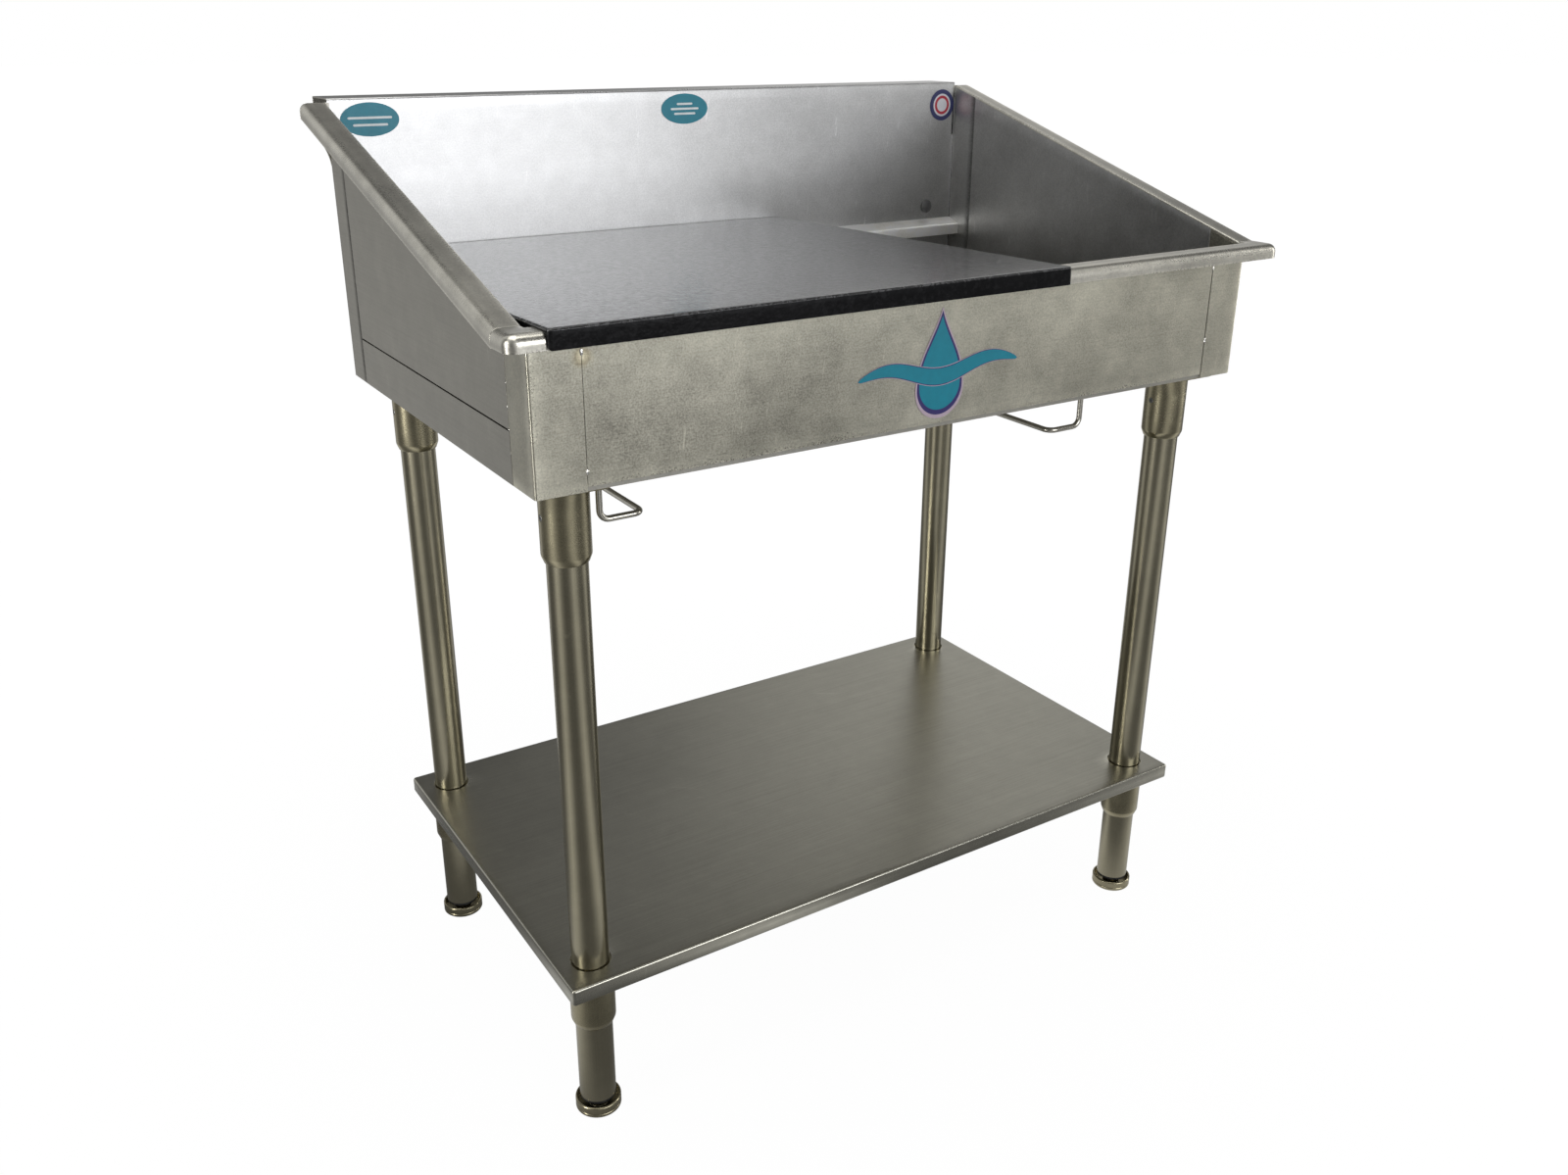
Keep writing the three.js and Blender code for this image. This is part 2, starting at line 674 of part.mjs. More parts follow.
// Strainer: a dished disc that lies in the drain's seat, with two rings of holes and a lift knob.
function strainer() {
  const low = strainerSeat + GAP;
  const disc = solid(turned([
    [0, low],
    [drainFlangeR - STRAINER_INSET, low],
    [drainFlangeR - STRAINER_INSET, low + STRAINER_THICKNESS],
    [KNOB_FOOT_R, low + STRAINER_THICKNESS],
    [KNOB_R, low + KNOB_SHOULDER],
    [0, low + KNOB_HEIGHT],
  ], 24));
  const bar = round(STRAINER_HOLE_R, low - 1, low + KNOB_HEIGHT, 6);
  const holes = STRAINER_RINGS.flatMap(({ radius, count }) => Array.from({ length: count }, (_, i) => {
    const angle = (i / count) * Math.PI * 2;
    return bar.translate([radius * Math.cos(angle), radius * Math.sin(angle), 0]);
  }));
  return disc.subtract(join(...holes));
}

const drainPlace = [drainX, middleY, 0];
add('drain_body', drainBody, 'stainless', drainPlace);
add('drain_gasket', gasket, 'rubber', drainPlace);
add('drain_locknut', locknut(), 'brass', drainPlace);
add('drain_tailpiece', tailpiece, 'stainless', drainPlace);
add('drain_slip_nut', slipNut(), 'brass', drainPlace);
add('drain_strainer', strainer(), 'stainless', drainPlace);

// ---------------------------------------------------------------- platform

// Inverted tray, built level with its front lip's face at Y 0 and its top at Z 0, then tipped back.
function addPlatform() {
  const angle = Math.atan(PLATFORM_FALL / TUB_DEPTH);
  const wall = PLATFORM_SHEET;
  const left = PLATFORM_SIDE_PLAY - innerHalf;
  const right = left + PLATFORM_LENGTH;
  const front = frontY - platformReach + PLATFORM_LIP * Math.sin(angle);
  const depth = (backInnerY - PLATFORM_REAR_PLAY - front) / Math.cos(angle);
  const height = rimHeight + GAP + wall + (platformReach + SHEET) * Math.tan(angle);
  const rearLip = height - depth * Math.sin(angle) - ledgeHeight - GAP;
  const behindRim = platformReach + SHEET + PLATFORM_SIDE_PLAY;
  const lipOutline = roundedRectangle(left, right, -PLATFORM_LIP, PLATFORM_LIP, PLATFORM_CORNER);
  const overlap = -wall / 2;
  const tray = join(
    solid(plate(roundedRectangle(left, right, 0, depth, PLATFORM_CORNER / 2), -wall, 0, 3)),
    solid(plateUpright(lipOutline, 0, wall, 4)).intersect(block(left, right, 0, wall, -PLATFORM_LIP, 0)),
    block(left + wall, right - wall, depth - wall, depth, -rearLip, overlap),
    block(left, left + wall, behindRim, depth - PLATFORM_CORNER, -PLATFORM_LIP, overlap),
    block(right - wall, right, behindRim, depth - PLATFORM_CORNER, -PLATFORM_LIP, overlap),
  );
  const mesh = add('platform', tray, 'coating', [0, front, height]);
  mesh.rotation.x = -angle;
}

addPlatform();

// ---------------------------------------------------------------- storage rails

// Line with its corners rounded off as a bent rod's are.
function bentPath(corners, radius) {
  const path = new THREE.CurvePath();
  let from = corners[0];
  for (let i = 1; i < corners.length - 1; i += 1) {
    const before = corners[i].clone().add(corners[i - 1].clone().sub(corners[i]).setLength(radius));
    const after = corners[i].clone().add(corners[i + 1].clone().sub(corners[i]).setLength(radius));
    path.add(new THREE.LineCurve3(from, before));
    path.add(new THREE.QuadraticBezierCurve3(before, corners[i], after));
    from = after;
  }
  path.add(new THREE.LineCurve3(from, corners[corners.length - 1]));
  return path;
}

// Curve that passes through its stations at equal steps of its parameter.
class PolylineCurve extends THREE.Curve {
  constructor(stations) {
    super();
    this.stations = stations;
  }

  getPoint(t, target = new THREE.Vector3()) {
    const place = t * (this.stations.length - 1);
    const i = Math.min(Math.floor(place + 1e-9), this.stations.length - 2);
    return target.lerpVectors(this.stations[i], this.stations[i + 1], place - i);
  }

  getPointAt(t, target) {
    return this.getPoint(t, target);
  }

  getTangentAt(t, target = new THREE.Vector3()) {
    const last = this.stations.length - 1;
    const i = Math.round(t * last);
    const before = this.stations[Math.max(i - 1, 0)];
    const after = this.stations[Math.min(i + 1, last)];
    return target.subVectors(after, before).normalize();
  }
}

// Straight stretches as one step and bends as several, joined end to end.
function rodAlong(corners, radius, bend, bendSteps, sides) {
  const path = bentPath(corners, bend);
  const stations = path.curves.flatMap((curve, c) => {
    const steps = curve.isLineCurve3 ? 1 : bendSteps;
    const first = c === 0 ? 0 : 1;
    return Array.from({ length: steps + 1 - first }, (_, i) => curve.getPoint((i + first) / steps));
  });
  const route = new PolylineCurve(stations);
  const section = new THREE.Shape().absellipse(0, 0, radius, radius, 0, Math.PI * 2, false, 0);
  return new THREE.ExtrudeGeometry(section, {
    steps: stations.length - 1,
    curveSegments: sides,
    extrudePath: route,
  });
}

// Rail: down from the pan or a socket's plate, inwards, along the tub's depth, outwards and up again.
function addRail(name, side) {
  const firstPost = RAIL_FIRST_POST - halfLength;
  const post = side < 0 ? firstPost : firstPost + PLATFORM_LENGTH + RAIL_STORE_PLAY;
  const run = post - side * RAIL_STEP;
  const isUnderPlate = Math.abs(Math.abs(post) - legX) < UPPER_PLATE / 2 + ROD_R + GAP;
  const top = isUnderPlate ? upperSocketTop - PLATE_THICKNESS - GAP : FLOOR_HEIGHT - GAP;
  const low = FLOOR_HEIGHT - RAIL_DROP;
  const front = frontY + RAIL_END_INSET;
  const rear = backY - RAIL_END_INSET;
  const corners = [
    [post, front, top],
    [post, front, low],
    [run, front, low],
    [run, rear, low],
    [post, rear, low],
    [post, rear, top],
  ].map(([x, y, z]) => new THREE.Vector3(x, y, z));
  add(name, rodAlong(corners, ROD_R, RAIL_BEND, 4, 6), 'tube');
}

addRail('left_storage_rail', -1);
addRail('right_storage_rail', 1);

// ---------------------------------------------------------------- legs and sockets

function chamferedSquare(half, cut) {
  return outline([
    [-half, -half + cut], [-half + cut, -half], [half - cut, -half], [half, -half + cut],
    [half, half - cut], [half - cut, half], [-half + cut, half], [-half, half - cut],
  ]);
}

// Hole for a set screw, through the socket's wall towards -X.
function screwHole(z) {
  const hole = turned([[0, 0], [SCREW_R + GAP, 0], [SCREW_R + GAP, socketR], [0, socketR]], 12);
  hole.rotateY(-Math.PI / 2);
  hole.translate(-socketR / 2, 0, z);
  return solid(hole);
}

// Socket: a chamfered plate with a tapered collar under it, its top at Z 0. An upper one is blind.
function socket(length, width, isThrough) {
  const square = solid(plate(chamferedSquare(width / 2, PLATE_CUT), -PLATE_THICKNESS, 0));
  const collar = solid(turned([
    [0, -length],
    [socketBore + SOCKET_MOUTH, -length],
    [socketR, -length + SOCKET_TAPER],
    [socketR, -PLATE_THICKNESS / 2],
    [0, -PLATE_THICKNESS / 2],
  ]));
  const boreTop = isThrough ? 1 : -PLATE_THICKNESS;
  const bore = round(socketBore, -length - 1, boreTop);
  return square.add(collar).subtract(bore).subtract(screwHole(-SCREW_DEPTH));
}

// Cup-point set screw with a hexagon recess, lying in the socket's wall.
function setScrew() {
  const tip = LEG_R + GAP + SOCKET_PLAY;
  const screw = round(SCREW_R, tip, socketR, 12);
  const recess = round(SCREW_RECESS_R, socketR - SCREW_RECESS_DEPTH, socketR + 1, 6);
  const geometry = geometryOf(screw.subtract(recess));
  geometry.rotateY(-Math.PI / 2);
  return geometry;
}

const legTop = upperSocketTop - PLATE_THICKNESS - GAP;
const legTube = turned([
  [LEG_R - LEG_WALL, LEG_BOTTOM],
  [LEG_R, LEG_BOTTOM],
  [LEG_R, legTop],
  [LEG_R - LEG_WALL, legTop],
  [LEG_R - LEG_WALL, LEG_BOTTOM],
]);

for (const [row, y] of Object.entries(legRows)) {
  for (const [column, x] of Object.entries(legColumns)) {
    const place = `${row}_${column}`;
    add(`${place}_leg`, legTube.clone(), 'tube', [x, y, 0]);
    const upper = socket(UPPER_SOCKET, UPPER_PLATE, false);
    const lower = socket(LOWER_SOCKET, LOWER_PLATE, true);
    add(`${place}_upper_socket`, upper, 'stainless', [x, y, upperSocketTop]);
    add(`${place}_lower_socket`, lower, 'stainless', [x, y, lowerSocketTop]);
    add(`${place}_upper_screw`, setScrew(), 'stainless', [x, y, upperSocketTop - SCREW_DEPTH]);
    add(`${place}_lower_screw`, setScrew(), 'stainless', [x, y, lowerSocketTop - SCREW_DEPTH]);
  }
}

// ---------------------------------------------------------------- undershelf

// Shallow tray upside down: edges folded down and returned inwards, with a hole for each leg.
function undershelf() {
  const front = frontY + SHELF_FRONT_INSET;
  const rear = backY - SHELF_REAR_INSET;
  const solidBetween = (inset, z0, z1) => {
    const x = halfLength - SHELF_END_INSET - inset;
    const radius = Math.max(SHELF_CORNER - inset, 1);
    return solid(plate(roundedRectangle(-x, x, front + inset, rear - inset, radius), z0, z1, 3));
  };
  const low = SHELF_HEIGHT - SHELF_EDGE;
  const body = solidBetween(0, low, SHELF_HEIGHT);
  const hollow = solidBetween(SHEET, low + SHEET, shelfUnderside);
  const mouth = solidBetween(shelfReturn, low - 1, low + SHEET + 1);
  const holes = Object.values(legRows).flatMap((y) => Object.values(legColumns).map((x) => {
    return round(LEG_R + SHELF_HOLE_PLAY, shelfUnderside - 1, SHELF_HEIGHT + 1).translate([x, y, 0]);
  }));
  return body.subtract(hollow).subtract(mouth).subtract(join(...holes));
}

add('undershelf', undershelf(), 'stainless');

// ---------------------------------------------------------------- levelling feet

const cup = turned([
  [0, 0],
  [CUP_R - CUP_FOOT_EASE, 0],
  [CUP_R, CUP_FOOT_EASE],
  [CUP_R, CUP_HEIGHT - CUP_LIP_EASE],
  [CUP_R - CUP_LIP_EASE, CUP_HEIGHT],
  [CUP_R - CUP_WALL, CUP_HEIGHT],
  [CUP_R - CUP_WALL, CUP_BASE],
  [BOSS_R, CUP_BASE],
  [BOSS_R, BOSS_HEIGHT],
  [STEM_R + THREAD_PLAY, BOSS_HEIGHT],
  [STEM_R + THREAD_PLAY, CUP_BASE],
  [0, CUP_BASE],
]);

const stemFoot = CUP_BASE + GAP;
const stem = turned([
  [0, stemFoot],
  [STEM_R, stemFoot],
  [STEM_R, stemFoot + STEM_LENGTH - STEM_CHAMFER],
  [STEM_R - STEM_CHAMFER, stemFoot + STEM_LENGTH],
  [0, stemFoot + STEM_LENGTH],
], 16);

const insertSeat = LEG_BOTTOM - GAP;
const insertR = LEG_R - LEG_WALL - GAP;
const insertFlangeR = LEG_R - INSERT_FLANGE_INSET;
const insert = turned([
  [STEM_R + THREAD_PLAY, insertSeat - INSERT_FLANGE],
  [insertFlangeR, insertSeat - INSERT_FLANGE],
  [insertFlangeR, insertSeat],
  [insertR, insertSeat],
  [insertR - INSERT_TAPER, insertSeat + INSERT_LENGTH],
  [STEM_R + THREAD_PLAY, insertSeat + INSERT_LENGTH],
  [STEM_R + THREAD_PLAY, insertSeat - INSERT_FLANGE],
]);

for (const [row, y] of Object.entries(legRows)) {
  for (const [column, x] of Object.entries(legColumns)) {
    const place = `${row}_${column}`;
    add(`${place}_foot_cup`, cup.clone(), 'stainless', [x, y, 0]);
    add(`${place}_foot_stem`, stem.clone(), 'tube', [x, y, 0]);
    add(`${place}_foot_insert`, insert.clone(), 'nylon', [x, y, 0]);
  }
}

// ---------------------------------------------------------------- wall plug, labels and badge

// Push-in plug: a dome inside the tub, a shank through the back wall and a collar behind it.
function wallPlug() {
  const behind = -(SHEET + GAP);
  const dome = Array.from({ length: PLUG_DOME_STEPS }, (_, i) => {
    const angle = (i / PLUG_DOME_STEPS) * (Math.PI / 2);
    return [PLUG_R * Math.cos(angle), GAP + PLUG_BRIM + (PLUG_DOME - PLUG_BRIM) * Math.sin(angle)];
  });
  const geometry = turned([
    [0, behind - PLUG_BARB.length],
    [PLUG_SHANK_R + PLUG_BARB.tip, behind - PLUG_BARB.length],
    [PLUG_SHANK_R + PLUG_BARB.shoulder, behind],
    [PLUG_SHANK_R, behind],
    [PLUG_SHANK_R, GAP],
    [PLUG_R, GAP],
    ...dome,
    [0, GAP + PLUG_DOME],
  ]);
  geometry.rotateX(Math.PI / 2);
  return geometry;
}

// Thin printed film standing against the back wall.
function film(halfWidth, halfHeight) {
  const wall = backInnerY - GAP;
  return plateUpright(ellipse(halfWidth, halfHeight), wall - LABEL_THICKNESS, wall, 20);
}

add('back_wall_plug', wallPlug(), 'rubber', [plugX, backInnerY, plugZ]);
const leftLabelX = LEFT_LABEL_END_INSET - halfLength;
const labelPositions = { left_oval_label: leftLabelX, centre_oval_label: CENTRE_LABEL_X };
for (const [name, x] of Object.entries(labelPositions)) {
  add(name, film(LABEL_HALF_WIDTH, LABEL_HALF_HEIGHT), 'label', [x, 0, backHeight - LABEL_DROP]);
}
const badgeX = halfLength - BADGE_END_INSET;
add('round_badge', film(BADGE_R, BADGE_R), 'badge', [badgeX, 0, backHeight - BADGE_DROP]);

// Front graphic: one large drop with a band of water across it.
function drop(radius, tall) {
  const shape = new THREE.Shape();
  const neckX = radius * DROP_SHOULDER.neckOut;
  const neckZ = tall * DROP_SHOULDER.neckUp;
  const bellyZ = radius * DROP_SHOULDER.bellyUp;
  shape.moveTo(0, tall);
  shape.bezierCurveTo(neckX, neckZ, radius, bellyZ, radius, 0);
  shape.absarc(0, 0, radius, 0, -Math.PI, true);
  shape.bezierCurveTo(-radius, bellyZ, -neckX, neckZ, 0, tall);
  return shape;
}

function waterBand(halfWidth, swell, thickness) {
  const edge = (offset) => Array.from({ length: BAND_STATIONS + 1 }, (_, i) => {
    const t = i / BAND_STATIONS;
    const wave = swell * Math.sin(t * Math.PI * BAND_HALF_WAVES);
    return [halfWidth * (2 * t - 1), wave + offset * Math.sin(Math.PI * t) ** 0.5];
  });
  const upper = edge(thickness / 2).reverse();
  return outline([...edge(-thickness / 2), ...upper.slice(1, -1)]);
}

function frontGraphic() {
  const back = frontY - GAP;
  const layer = (shape) => solid(plateUpright(shape, back - LABEL_THICKNESS, back, 5));
  const band = layer(waterBand(BAND_HALF_WIDTH, BAND_SWELL, BAND_THICKNESS));
  return layer(drop(DROP_R, DROP_HEIGHT)).add(band.translate([0, 0, BAND_RISE]));
}

add('front_graphic', frontGraphic(), 'label', [GRAPHIC_X, 0, FLOOR_HEIGHT + GRAPHIC_ABOVE_FLOOR]);

export default group;
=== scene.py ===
"""Looks for a stainless pet grooming bathtub with a removable platform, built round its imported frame.

Every sheet-metal piece is an outer skin worked out on a grid and then thickened by its sheet's gauge.
Turned pieces are profiles carried round an axis, and rods are circles carried along a bent path.
Lengths are in metres, +Z is up and +Y points towards the tub's back.
"""

from __future__ import annotations

import logging
import math
from dataclasses import dataclass, field
from enum import Enum
from typing import Iterable, Optional, Sequence

import bpy
import numpy as np
from mathutils import Matrix, Vector

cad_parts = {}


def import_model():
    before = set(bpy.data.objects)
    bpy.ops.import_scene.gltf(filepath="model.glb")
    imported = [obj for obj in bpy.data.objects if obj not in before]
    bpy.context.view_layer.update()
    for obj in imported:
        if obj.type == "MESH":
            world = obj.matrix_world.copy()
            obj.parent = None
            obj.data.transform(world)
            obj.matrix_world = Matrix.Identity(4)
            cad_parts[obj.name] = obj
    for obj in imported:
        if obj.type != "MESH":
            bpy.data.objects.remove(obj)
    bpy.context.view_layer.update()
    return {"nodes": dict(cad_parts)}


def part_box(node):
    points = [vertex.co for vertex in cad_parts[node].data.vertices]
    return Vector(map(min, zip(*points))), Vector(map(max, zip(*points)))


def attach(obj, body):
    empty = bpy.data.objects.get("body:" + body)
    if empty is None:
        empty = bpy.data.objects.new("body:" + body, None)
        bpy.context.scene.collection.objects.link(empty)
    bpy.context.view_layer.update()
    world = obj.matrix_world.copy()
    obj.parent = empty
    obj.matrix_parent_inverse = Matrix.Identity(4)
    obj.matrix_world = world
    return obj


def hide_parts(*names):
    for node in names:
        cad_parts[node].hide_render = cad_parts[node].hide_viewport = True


LOG = logging.getLogger("pet_bathtub")
Array = np.ndarray
MM = 0.001

# Gauges, gaps and bends that the sheet-metal pieces share.
SHEET = 1.6 * MM
GAP = 0.3 * MM
BEND = 2.6 * MM
RIM_WIDTH = 28 * MM
RIM_ROLL = 9 * MM
RIM_CORNER = 12 * MM
BACK_FLANGE = 60 * MM
BACK_LIP = 15 * MM
FULL_TURN = 2 * math.pi
FACING = 0.5
ROOT = "frame"
PLACES = [f"{row}_{column}" for row in ("front", "rear") for column in ("left", "right")]


# ---------------------------------------------------------------- meshes


def ramp(start: float, end: float, count: int) -> Array:
    """Evenly spaced values from start to end, both kept."""
    return np.linspace(start, end, count)


def arc(centre: Sequence[float], radius: float, start: float, end: float, count: int = 7) -> Array:
    """Points on a circle from one angle to another, in degrees: centre + radius * (cos, sin)."""
    turn = np.radians(ramp(start, end, count))
    return np.stack([centre[0] + radius * np.cos(turn), centre[1] + radius * np.sin(turn)], axis=1)


def steps_round(count: int) -> Array:
    """Angles of evenly spaced steps round a whole turn, the last one short of the first."""
    return np.arange(count) * FULL_TURN / count


def points_at(x: Array | float, y: Array | float, z: Array | float) -> Array:
    """Points from coordinates that are spread over one grid."""
    return np.stack(np.broadcast_arrays(x, y, z), axis=-1)


def column(values: Sequence[float] | Array) -> Array:
    """Values that differ from row to row of a grid."""
    return np.asarray(values)[:, None]


class Skin:
    """Grids of points gathered into one mesh, with a wear value at each point."""

    def __init__(self) -> None:
        """Starts with no points and no faces."""
        self._points: list[Array] = []
        self._wear: list[Array] = []
        self._faces: list[Array] = []
        self._count = 0

    def grid(
        self,
        points: Array,
        wrap_u: bool = False,
        wrap_v: bool = False,
        wear: Optional[Array] = None,
        flip: bool = False,
    ) -> "Skin":
        """Adds a grid of quads. Face (u, v) joins the points u, v and the next ones each way.

        Args:
            points: Places of shape (rows, columns, 3).
            wrap_u: Joins the last row to the first.
            wrap_v: Joins the last column to the first.
            wear: Wear at each point: 1 is rubbed bright, also used for painted highlights, 0 is plain, less
                than 0 is darker, used for painted shade with some grime at seams. All 0 if absent.
            flip: Turns the faces to the other side.

        Returns:
            This skin, so that calls can be chained.
        """
        rows, columns = points.shape[:2]
        number = np.arange(rows * columns).reshape(rows, columns) + self._count
        near = number if wrap_u else number[:-1]
        far = np.roll(number, -1, axis=0) if wrap_u else number[1:]
        if wrap_v:
            corners = [near, far, np.roll(far, -1, axis=1), np.roll(near, -1, axis=1)]
        else:
            corners = [near[:, :-1], far[:, :-1], far[:, 1:], near[:, 1:]]
        quads = np.stack(corners, axis=-1).reshape(-1, 4)
        self._faces.append(quads[:, ::-1] if flip else quads)
        self._points.append(points.reshape(-1, 3))
        marks = np.zeros((rows, columns)) if wear is None else np.broadcast_to(wear, (rows, columns))
        self._wear.append(marks.reshape(-1))
        self._count += rows * columns
        return self

    def add(self, other: "Skin") -> "Skin":
        """Takes in another skin's points and faces."""
        self._points += other._points
        self._wear += other._wear
        self._faces += [faces + self._count for faces in other._faces]
        self._count += other._count
        return self

    def piece(self, name: str) -> bpy.types.Object:
        """Welds points that share a place, drops faces that shrink to nothing and makes the object.

        Args:
            name: The piece's name.

        Returns:
            A mesh object at the origin, with the wear in a point attribute.
        """
        points = np.concatenate(self._points)
        wear = np.concatenate(self._wear)
        quads = np.concatenate(self._faces)
        grain = np.round(points / (0.002 * MM)).astype(np.int64)
        _, first, place = np.unique(grain, axis=0, return_index=True, return_inverse=True)
        quads = place.reshape(-1)[quads]
        used, packed = np.unique(quads, return_inverse=True)
        quads = packed.reshape(-1, 4)
        whole = np.all(np.diff(np.sort(quads, axis=1), axis=1) > 0, axis=1)
        bent = [list(dict.fromkeys(face)) for face in quads[~whole].tolist()]
        faces = quads[whole].tolist() + [face for face in bent if len(face) > 2]
        mesh = bpy.data.meshes.new(name)
        mesh.from_pydata(points[first][used].tolist(), [], faces)
        mesh.attributes.new("wear", "FLOAT", "POINT").data.foreach_set(
            "value", wear[first][used].astype(np.float32)
        )
        mesh.validate()
        mesh.update()
        made = bpy.data.objects.new(name, mesh)
        bpy.context.scene.collection.objects.link(made)
        return made


def freeze(piece: bpy.types.Object) -> None:
    """Applies a piece's modifiers to its mesh."""
    evaluated = piece.evaluated_get(bpy.context.evaluated_depsgraph_get())
    mesh = bpy.data.meshes.new_from_object(evaluated)
    old = piece.data
    piece.modifiers.clear()
    piece.data = mesh
    mesh.name = piece.name
    bpy.data.meshes.remove(old)


def faces_of(piece: bpy.types.Object) -> tuple[Array, Array]:
    """A piece's face centres and face normals."""
    polygons = piece.data.polygons
    centre, normal = np.zeros(len(polygons) * 3), np.zeros(len(polygons) * 3)
    polygons.foreach_get("center", centre)
    polygons.foreach_get("normal", normal)
    return centre.reshape(-1, 3), normal.reshape(-1, 3)


def thicken(piece: bpy.types.Object, gauge: float) -> bpy.types.Object:
    """Gives a skin its sheet's thickness, on the side that its faces turn away from."""
    wall = piece.modifiers.new("gauge", "SOLIDIFY")
    wall.thickness = gauge
    wall.offset = -1.0
    wall.use_even_offset = True
    wall.use_quality_normals = True
    freeze(piece)
    return piece


def carve(piece: bpy.types.Object, cutters: Iterable[bpy.types.Object]) -> bpy.types.Object:
    """Cuts other closed meshes out of a piece and removes them."""
    for cutter in list(cutters):
        cut = piece.modifiers.new("cut", "BOOLEAN")
        cut.operation = "DIFFERENCE"
        cut.solver = "EXACT"
        cut.object = cutter
        freeze(piece)
        mesh = cutter.data
        bpy.data.objects.remove(cutter)
        bpy.data.meshes.remove(mesh)
    return piece


def soften(piece: bpy.types.Object, width: float = 0.25 * MM, sharp: float = 32.0) -> bpy.types.Object:
    """Smooth shading, with a narrow bevel on edges sharper than an angle in degrees."""
    piece.data.shade_smooth()
    piece.data.set_sharp_from_angle(angle=math.radians(sharp))
    if width > 0:
        bevel = piece.modifiers.new("edge_break", "BEVEL")
        bevel.width = width
        bevel.segments = 2
        bevel.limit_method = "ANGLE"
        bevel.angle_limit = math.radians(sharp)
        bevel.harden_normals = True
    return piece


def turned(
    profile: Array, sides: int = 64, centre: Sequence[float] = (0.0, 0.0), closed: bool = True
) -> Skin:
    """A profile of radius and height carried round a vertical axis: (r cos a, r sin a, z).

    Args:
        profile: Radius and height pairs, anticlockwise seen with the radius to the right.
        sides: Steps round the axis.
        centre: The axis's X and Y.
        closed: Joins the profile's end to its start.

    Returns:
        The skin of the turned piece.
    """
    turn = steps_round(sides)
    radius, height = profile[:, 0][None, :], profile[:, 1][None, :]
    x, y = centre[0] + radius * column(np.cos(turn)), centre[1] + radius * column(np.sin(turn))
    return Skin().grid(points_at(x, y, height), wrap_u=True, wrap_v=closed)


def rounded(profile: Sequence[Sequence[float]], radius: float, steps: int = 4) -> Array:
    """A closed profile with each corner replaced by a short curve.

    Each corner becomes a quadratic curve between the points one radius before and after it.

    Args:
        profile: Corner points.
        radius: How far from a corner its curve starts, at most 0.45 of the edge.
        steps: Points on each curve.

    Returns:
        The softened profile's points.
    """
    corner = np.asarray(profile, float)
    before = np.roll(corner, 1, axis=0) - corner
    after = np.roll(corner, -1, axis=0) - corner
    long_before = np.linalg.norm(before, axis=1, keepdims=True)
    long_after = np.linalg.norm(after, axis=1, keepdims=True)
    start = corner + before / long_before * np.minimum(radius, 0.45 * long_before)
    end = corner + after / long_after * np.minimum(radius, 0.45 * long_after)
    t = ramp(0, 1, steps)[None, :, None]
    curve = (1 - t) ** 2 * start[:, None] + 2 * t * (1 - t) * corner[:, None] + t**2 * end[:, None]
    return curve.reshape(-1, corner.shape[1])


@dataclass(frozen=True)
class CornerPath:
    """Stations round a rectangle with rounded corners, each with a core point and an outward direction."""

    core: Array
    outward: Array
    low: Array
    high: Array
    radius: float

    @classmethod
    def round_rectangle(
        cls, low: Sequence[float], high: Sequence[float], radius: float, marks: Sequence[Array], bend: int = 6
    ) -> "CornerPath":
        """A whole loop, anticlockwise from the front edge's low-X end.

        Args:
            low: Low X and Y.
            high: High X and Y.
            radius: Corner radius.
            marks: Station places along the front (X), right (Y), back (X) and left (Y) edges, each rising.
            bend: Steps in each corner.
        """
        low_xy, high_xy = np.asarray(low, float), np.asarray(high, float)
        inner_low, inner_high = low_xy + radius, high_xy - radius
        corners = [
            (inner_high[0], inner_low[1]),
            (inner_high[0], inner_high[1]),
            (inner_low[0], inner_high[1]),
            (inner_low[0], inner_low[1]),
        ]
        core, outward = [], []
        for side, places in enumerate(marks):
            along = side % 2
            ordered = np.asarray(places, float) if side < 2 else np.asarray(places, float)[::-1]
            fixed = inner_low if side in (0, 3) else inner_high
            points = np.empty((len(ordered), 2))
            points[:, along] = ordered
            points[:, 1 - along] = fixed[1 - along]
            angle = math.radians(90 * side - 90)
            core.append(points)
            outward.append(np.tile([math.cos(angle), math.sin(angle)], (len(ordered), 1)))
            turn = angle + ramp(0, math.pi / 2, bend + 1)
            core.append(np.tile(corners[side], (bend + 1, 1)))
            outward.append(np.stack([np.cos(turn), np.sin(turn)], axis=1))
        return cls(np.concatenate(core), np.concatenate(outward), low_xy, high_xy, radius)

    def at(self, inset: Array | float) -> Array:
        """The stations moved in by an inset: core + (radius - inset) * outward, kept inside the smaller box.

        Where the inset passes the corner's radius, a corner's stations meet in one mitre point.
        """
        depth = np.asarray(inset, float).reshape(-1, 1)
        moved = self.core[None] + (self.radius - depth)[..., None] * self.outward[None]
        low = self.low[None, None] + np.maximum(depth, 0)[..., None]
        high = self.high[None, None] - np.maximum(depth, 0)[..., None]
        return np.clip(moved, low, high)


def lift(flat: Array, height: Array | float) -> Array:
    """Adds a height to points in a plane."""
    level = np.broadcast_to(np.asarray(height, float), flat.shape[:-1])
    return np.concatenate([flat, level[..., None]], axis=-1)


